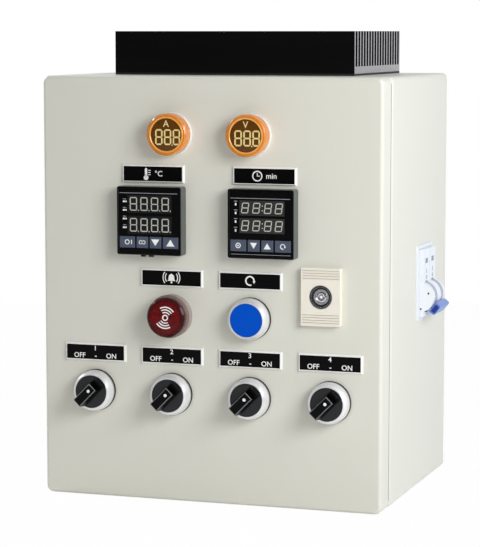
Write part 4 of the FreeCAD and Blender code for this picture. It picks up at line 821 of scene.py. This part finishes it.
rows = []
windows = []
for v in (12.2, 26.9):
    windows.append(block(*on_face(TEMPERATURE_X, 24.6, v), 33.0, 12.6))
    for n in range(4):
        x, z = on_face(TEMPERATURE_X, 12.6 + n * 7.9, v)
        rows += digit(x, z, 5.4, 9.5, 0.7)
        rows.append(disc(x + 3.7, z - 4.5, 0.42, 10))
lines = []
marks = []
for v in (10.6, 16.6, 22.7, 28.8):
    x, z = on_face(TEMPERATURE_X, 6.1, v)
    lines.append(block(x - 0.2, z + 1.7, 2.4, 0.5))
    marks.append(block(x - 0.7, z, 1.5, 1.1))
    marks.append(block(x + 0.9, z, 0.9, 1.1))
lines.append(block(*on_face(TEMPERATURE_X, 23.75, 4.6), 43.0, 0.4))
face_print("temperature", windows, "display_dark", rows, marks, lines)
tabs = [block(*on_face(TEMPERATURE_X, u, 48.2), 3.2, 2.0) for u in (19.2, 25.0)]
prisms("temperature_tabs", tabs, FILM + 1.2, 2.4, "door", "case_black")
print(len(rows), "bars and dots on the film at y", round(FILM, 2), "mm")

# %% Timer
rows = []
windows = []
for v in (13.0, 25.2):
    windows.append(block(*on_face(TIMER_X, 25.0, v), 32.4, 10.4))
    for u in (12.9, 21.0, 29.4, 37.2):
        x, z = on_face(TIMER_X, u, v)
        rows += digit(x, z, 5.2, 7.4, 0.64, 8.0)
    for offset in (-1.6, 1.6):
        x, z = on_face(TIMER_X, 25.3, v)
        rows.append(disc(x, z + offset, 0.42, 10))
lines = []
marks = []
for v in (10.0, 16.0, 22.0, 28.0):
    x, z = on_face(TIMER_X, 6.0, v)
    lines.append(block(x, z + 1.5, 2.4, 0.5))
    marks.append(block(x, z - 0.6, 1.0, 1.7))
lines.append(block(*on_face(TIMER_X, 23.75, 6.4), 43.0, 0.4))
lines.append(block(*on_face(TIMER_X, 24, 45.1), 43.0, 0.3))
face_print("timer", windows, "display_grey", rows, marks, lines)
print(len(rows), "bars and dots on the timer's film")

# %% [markdown]
# ### Key signs
#
# The soft keys carry plain signs: triangles for up and down, rings and a turning arrow for the others.
# Each sign rides on its own key, so it goes in when the key is pressed.

# %% Key signs
KEY_SHIFTS = (-16.1, -4.9, 4.9, 16.1)
KEY_Z = 184.5
key_front = front_of("timer_key_1")


def triangle(x, z, width, height):
    """Outline of a triangle; a negative height points it down."""
    return [(x - width / 2, z - height / 2), (x + width / 2, z - height / 2), (x, z + height / 2)]


def turning_arrow(x, z, inner, outer):
    """A stripe most of the way round, with an arrow head at its end."""
    middle = (inner + outer) / 2
    reach = outer - inner
    head = [(x + middle - reach * 1.1, z - 0.1), (x + middle + reach * 1.1, z - 0.1),
            (x + middle, z - reach * 2.0)]
    return [band(x, z, inner, outer, 0, 150), band(x, z, inner, outer, 150, 290), head]


left = [TEMPERATURE_X + shift for shift in KEY_SHIFTS]
right = [TIMER_X + shift for shift in KEY_SHIFTS]
SIGNS = {
    "temperature_key_1": ring(left[0], KEY_Z, 1.2, 1.8) + [block(left[0] + 3.2, KEY_Z, 0.7, 3.0)],
    "temperature_key_2": ring(left[1] - 1.1, KEY_Z, 0.9, 1.4) + ring(left[1] + 1.1, KEY_Z, 0.9, 1.4),
    "temperature_key_3": [triangle(left[2], KEY_Z, 6.0, -4.6)],
    "temperature_key_4": [triangle(left[3], KEY_Z, 6.2, 4.6)],
    "timer_key_1": ring(right[0], KEY_Z, 1.3, 1.9) + [disc(right[0], KEY_Z, 0.6, 14)],
    "timer_key_2": [triangle(right[1], KEY_Z, 5.0, -4.2)],
    "timer_key_3": [triangle(right[2], KEY_Z, 5.0, 4.2)],
    "timer_key_4": turning_arrow(right[3], KEY_Z, 1.3, 1.9),
}
for key, outlines in SIGNS.items():
    prisms(key + "_sign", outlines, key_front - 0.08, 0.1, key, "ink_white")
print(len(SIGNS), "keys signed")

# %% [markdown]
# ## Legends
#
# The eight laminate plates are marked in plain terms. The selectors have a number and the words OFF and
# ON; the other plates have a sign: a thermometer, a clock, a bell and a turning arrow. A thin white
# border runs round each plate.

# %% Selector legends
SELECTOR_PLATES = 104.0
BUTTON_PLATES = 159.0
CONTROLLER_PLATES = 232.0
PLATE = front_of("legend_plates")
INK = PLATE - 0.07


def legend_words(name, words, size, x, z):
    """White letters on a legend plate."""
    letters(name, words, size, x, z, INK, "door", "ink_white")


for number, x in enumerate(COLUMNS, 1):
    legend_words("legend_number_%d" % number, str(number), 4.9, x, SELECTOR_PLATES + 2.7)
    for key, word, shift in (("off", "OFF", -12.0), ("dash", "-", 0.3), ("on", "ON", 12.2)):
        legend_words("legend_%s_%d" % (key, number), word, 5.0, x + shift, SELECTOR_PLATES - 2.6)
print("words on", len(COLUMNS), "selector plates at y", round(INK, 2), "mm")

# %% Sign legends
def legend_sign(name, outlines):
    """A white sign on a legend plate."""
    prisms(name, outlines, INK - 0.05, 0.1, "door", "ink_white")


x, z = COLUMNS[1], BUTTON_PLATES
half_bell = [(3.0, -1.9), (2.3, -1.1), (2.1, 0.9), (1.6, 2.2), (0.6, 2.9)]
left_side = [(x - u, z + v) for u, v in half_bell]
right_side = [(x + u, z + v) for u, v in half_bell[::-1]]
bell = left_side + [(x, z + 3.3)] + right_side
swings = [band(x, z + 0.4, inner, inner + 0.6, middle - 38, middle + 38)
          for inner in (4.3, 6.0) for middle in (0, 180)]
legend_sign("legend_bell", [bell, disc(x, z - 2.9, 0.75, 16)] + swings)
legend_sign("legend_turn", turning_arrow(COLUMNS[2], BUTTON_PLATES + 0.2, 2.5, 3.5))

x, z = TEMPERATURE_X - 5.0, CONTROLLER_PLATES
glass = [(x - 0.9, z - 1.8), (x + 0.9, z - 1.8), (x + 0.9, z + 3.2), (x + 0.45, z + 4.0),
         (x - 0.45, z + 4.0), (x - 0.9, z + 3.2)]
ticks = [block(x + 2.6, z + level, 1.7, 0.5) for level in (-0.6, 0.9, 2.4)]
legend_sign("legend_thermometer", [glass, disc(x, z - 2.7, 1.8)] + ticks)
legend_words("legend_degrees", "°C", 5.4, TEMPERATURE_X + 4.4, CONTROLLER_PLATES)

x = TIMER_X - 5.0
hands = [block(x, z + 0.9, 0.6, 2.4), block(x + 0.8, z, 2.0, 0.6)]
legend_sign("legend_clock", ring(x, z, 2.9, 3.7) + hands)
legend_words("legend_minutes", "min", 5.4, TIMER_X + 5.2, CONTROLLER_PLATES)
print("signs on the other four plates")

# %% Legend borders
plates = [(x, SELECTOR_PLATES) for x in COLUMNS]
plates += [(x, BUTTON_PLATES) for x in COLUMNS[1:3]]
plates += [(x, CONTROLLER_PLATES) for x in (TEMPERATURE_X, TIMER_X)]
borders = []
for x, z in plates:
    for side in (-1, 1):
        borders.append(block(x + side * 22.1, z, 0.45, 11.2))
        borders.append(block(x, z + side * 5.38, 43.75, 0.45))
prisms("legend_borders", borders, PLATE - 0.04, 0.06, "door", "ink_white")
print(len(borders), "border lines on", len(plates), "plates")

# %% [markdown]
# ## Buzzer
#
# The buzzer's cap carries a sign of sound waves, tilted as the cap was screwed in. Its smoky base has
# two fine moulded steps.

# %% Buzzer
WAVE_TILT = 77
WAVE_HALF = 43
cap_front = front_of("alarm_lens")
waves = ring(*BUZZER, 1.35, 2.2)
for inner, outer in ((3.4, 4.15), (5.2, 6.0), (7.0, 7.9)):
    for middle in (WAVE_TILT, WAVE_TILT + 180):
        waves.append(band(*BUZZER, inner, outer, middle - WAVE_HALF, middle + WAVE_HALF))
prisms("alarm_waves", waves, cap_front - 0.1, 0.12, "door", "ink_white")
for n, reach in enumerate((4.6, 7.4), 1):
    lathe("alarm_step_%d" % n, [(14.2, -0.35), (15.0, -0.3), (15.2, 0), (15.0, 0.3), (14.2, 0.35)],
          DOOR - reach, [BUZZER], "door", "alarm_smoke")
print(len(waves), "waves on the buzzer")

# %% [markdown]
# ## Selector knobs
#
# A white dot of paint in the handle shows which way the knob points. It rides on the knob.

# %% Selector knobs
for number, x in enumerate(COLUMNS, 1):
    knob_front = front_of("selector_knob_%d" % number)
    prisms("selector_dot_%d" % number, [disc(x + 1.9, KNOB_ROW + 1.9, 1.15)], knob_front - 0.02, 0.1,
           "selector_%d" % number, "ink_white")
print("dots on", len(COLUMNS), "knobs")

# %% [markdown]
# ## Breaker
#
# The breaker's face has a bar for on and a ring for off on each pole and a small grey flag window. A
# raised rim frames the face, and two rivets show on its near side. The toggle's tie bar is hollow, and
# a navy patch on its near end is painted shade in the hollow.

# %% Breaker face
FACE = 129.5
FLANGE = 126.2
NEAR_SIDE = 4.5
POLES = (13.5, 31.5)
marks = []
flags = []
for y in POLES:
    marks.append(block(y, 158.5, 0.7, 3.4))
    marks += ring(y, 154.0, 0.9, 1.4)
    flags.append(block(y, 166.0, 7.0, 3.6))
prisms("breaker_marks", marks, FACE + 0.05, 0.1, "enclosure", "ink_dark", "+X")
prisms("breaker_flags", flags, FACE + 0.04, 0.1, "enclosure", "line_grey", "+X")
rim = [block(2.8, 150.0, 2.6, 54.2), block(42.2, 150.0, 2.6, 54.2), block(22.5, 175.9, 36.8, 2.4),
       block(22.5, 124.1, 36.8, 2.4)]
prisms("breaker_rim", rim, FLANGE, 1.2, "enclosure", "breaker_white", "+X")
rivets = [disc(133.2, 143.0, 0.7, 14), disc(127.6, 131.5, 0.7, 14)]
prisms("breaker_rivets", rivets, NEAR_SIDE - 0.05, 0.1, "enclosure", "ink_dark")
print("breaker face at x", FACE, "mm")

# %% Painted shade in the tie bar's hollow
lean = math.radians(38)
hollow = []
for out, side in ((12.5, -3.0), (15.3, -3.0), (15.9, -2.2), (15.9, 2.2), (15.3, 3.0), (12.5, 3.0)):
    hollow.append((TOGGLE_AXIS[0] + out * math.cos(lean) + side * math.sin(lean),
                   TOGGLE_AXIS[1] - out * math.sin(lean) + side * math.cos(lean)))
near_end = front_of("breaker_toggle")
# Painted shade: a navy patch on the tie bar's near end, where its hollow lies in shade.
prisms("toggle_hollow_shade", [hollow], near_end - 0.06, 0.1, "breaker_toggle", "toggle_navy")
print("tie bar ends at y", round(near_end, 2), "mm")

# %% [markdown]
# ## Lock
#
# The insert's sleeve holds a small turned core, so a glance into the keyway meets bright metal and not
# a dark hole. A black ring in the recess round the sleeve is painted shade, a dark ring on the rim is a
# painted reflection and a white dome on the pin is a painted highlight. All of them turn with the lock.
# On the cream plate, a low rib stands in each grip groove and leaves a fine line.

# %% Lock
insert_front = front_of("lock_insert")
lathe("lock_core", [(1.75, 1.7), (2.6, 1.5), (3.6, 1.7), (4.25, 2.2), (4.25, 3.0), (1.75, 3.0)],
      insert_front, [LOCK], "lock", "lock_zinc")
# Painted shade: a black ring fills the recess round the sleeve.
lathe("lock_recess_shade", [(5.45, 1.6), (6.75, 1.6), (6.75, 2.6), (5.45, 2.6)], insert_front, [LOCK], "lock",
      "rubber")
# Painted reflection: a dark ring on the rim of the insert.
lathe("lock_rim_reflection", [(6.95, 0.1), (7.1, -0.08), (7.75, -0.08), (7.9, 0.1)], insert_front, [LOCK], "lock",
      "gunmetal")
# Painted highlight: a white dome on the pin.
lathe("lock_pin_glint", [(0, 0.55), (0.5, 0.6), (0.85, 0.85), (0.95, 1.25), (0, 1.25)], insert_front, [LOCK],
      "lock", "ink_white", 20)
ribs = [block(LOCK[0], LOCK[1] + side * (12.6 + 1.8 * n) - 0.2, 26.2, 0.38) for n in range(4)
        for side in (-1, 1)]
prisms("lock_ribs", ribs, plate_front + 0.04, 0.6, "door", "lock_cream")
print("lock insert at y", round(insert_front, 2), "mm")

# %% [markdown]
# ## Inside the case
#
# With the door open, the small metal parts show: screws in the terminal blocks, in the switches'
# contact blocks and on the backs of the controllers. They are turned on the lathe helper, with a dark
# strip across each head as the painted shade of its slot.

# %% Terminals
TERMINAL_ROW = 62


def screws(name, profile, level, places, body, finish, width, facing="-Y"):
    """Turned screw heads, each crossed by a dark strip so many millimetres long: a slot's painted shade.
    """
    lathe(name + "_screws", profile, level, places, body, finish, 20)
    top = level + profile[0][1] - 0.05 * TO_SPACE[facing][1]
    # Painted shade: a dark strip across each head stands in for the shaded slot.
    slots = [block(x, z, width, 0.6) for x, z in places]
    prisms(name + "_slots", slots, top, 0.1, body, "ink_dark", facing)


terminals = [8.2 * (n - 4.5) for n in range(10)]
tops = [(x, TERMINAL_ROW + side) for x in terminals for side in (-7, 7)]
front = front_of("terminal_blocks")
screws("terminal", [(0, 2.6), (1.7, 2.6), (2.1, 3.0), (2.1, 4.95), (0, 4.95)], front, tops,
       "enclosure", "zinc", 3.3)
tags = [block(x, TERMINAL_ROW, 6.2, 5.4) for x in terminals]
prisms("terminal_tags", tags, front - 0.25, 0.3, "enclosure", "ink_white")
for number, x in enumerate(terminals, 1):
    letters("terminal_number_%d" % number, str(number), 3.6, x, TERMINAL_ROW, front - 0.3, "enclosure",
            "ink_dark")
print(len(terminals), "terminals numbered")

# %% Contact blocks and controller backs
back = back_of("contact_blocks")
switches = [(x, KNOB_ROW) for x in COLUMNS] + [(COLUMNS[2], BUTTON_ROW)]
wells = [(x + i, z + j) for x, z in switches for i in (-9, 9) for j in (-14, 14)]
screws("contact", [(0, -1.6), (1.9, -1.6), (2.3, -2.0), (2.3, -3.95), (0, -3.95)], back, wells,
       "door", "brass", 3.6, "+Y")

back = back_of("timer_case")
points = [(x + i, CONTROLLER_ROW + 6.4 * (n - 2.5)) for x in (TEMPERATURE_X, TIMER_X) for i in (-14, 14)
          for n in range(6)]
screws("controller", [(0, 1.5), (2.0, 1.5), (2.5, 0.9), (2.5, -0.1), (0, -0.1)], back, points,
       "door", "zinc", 4.0, "+Y")
print(len(tops) + len(wells) + len(points), "small screws")
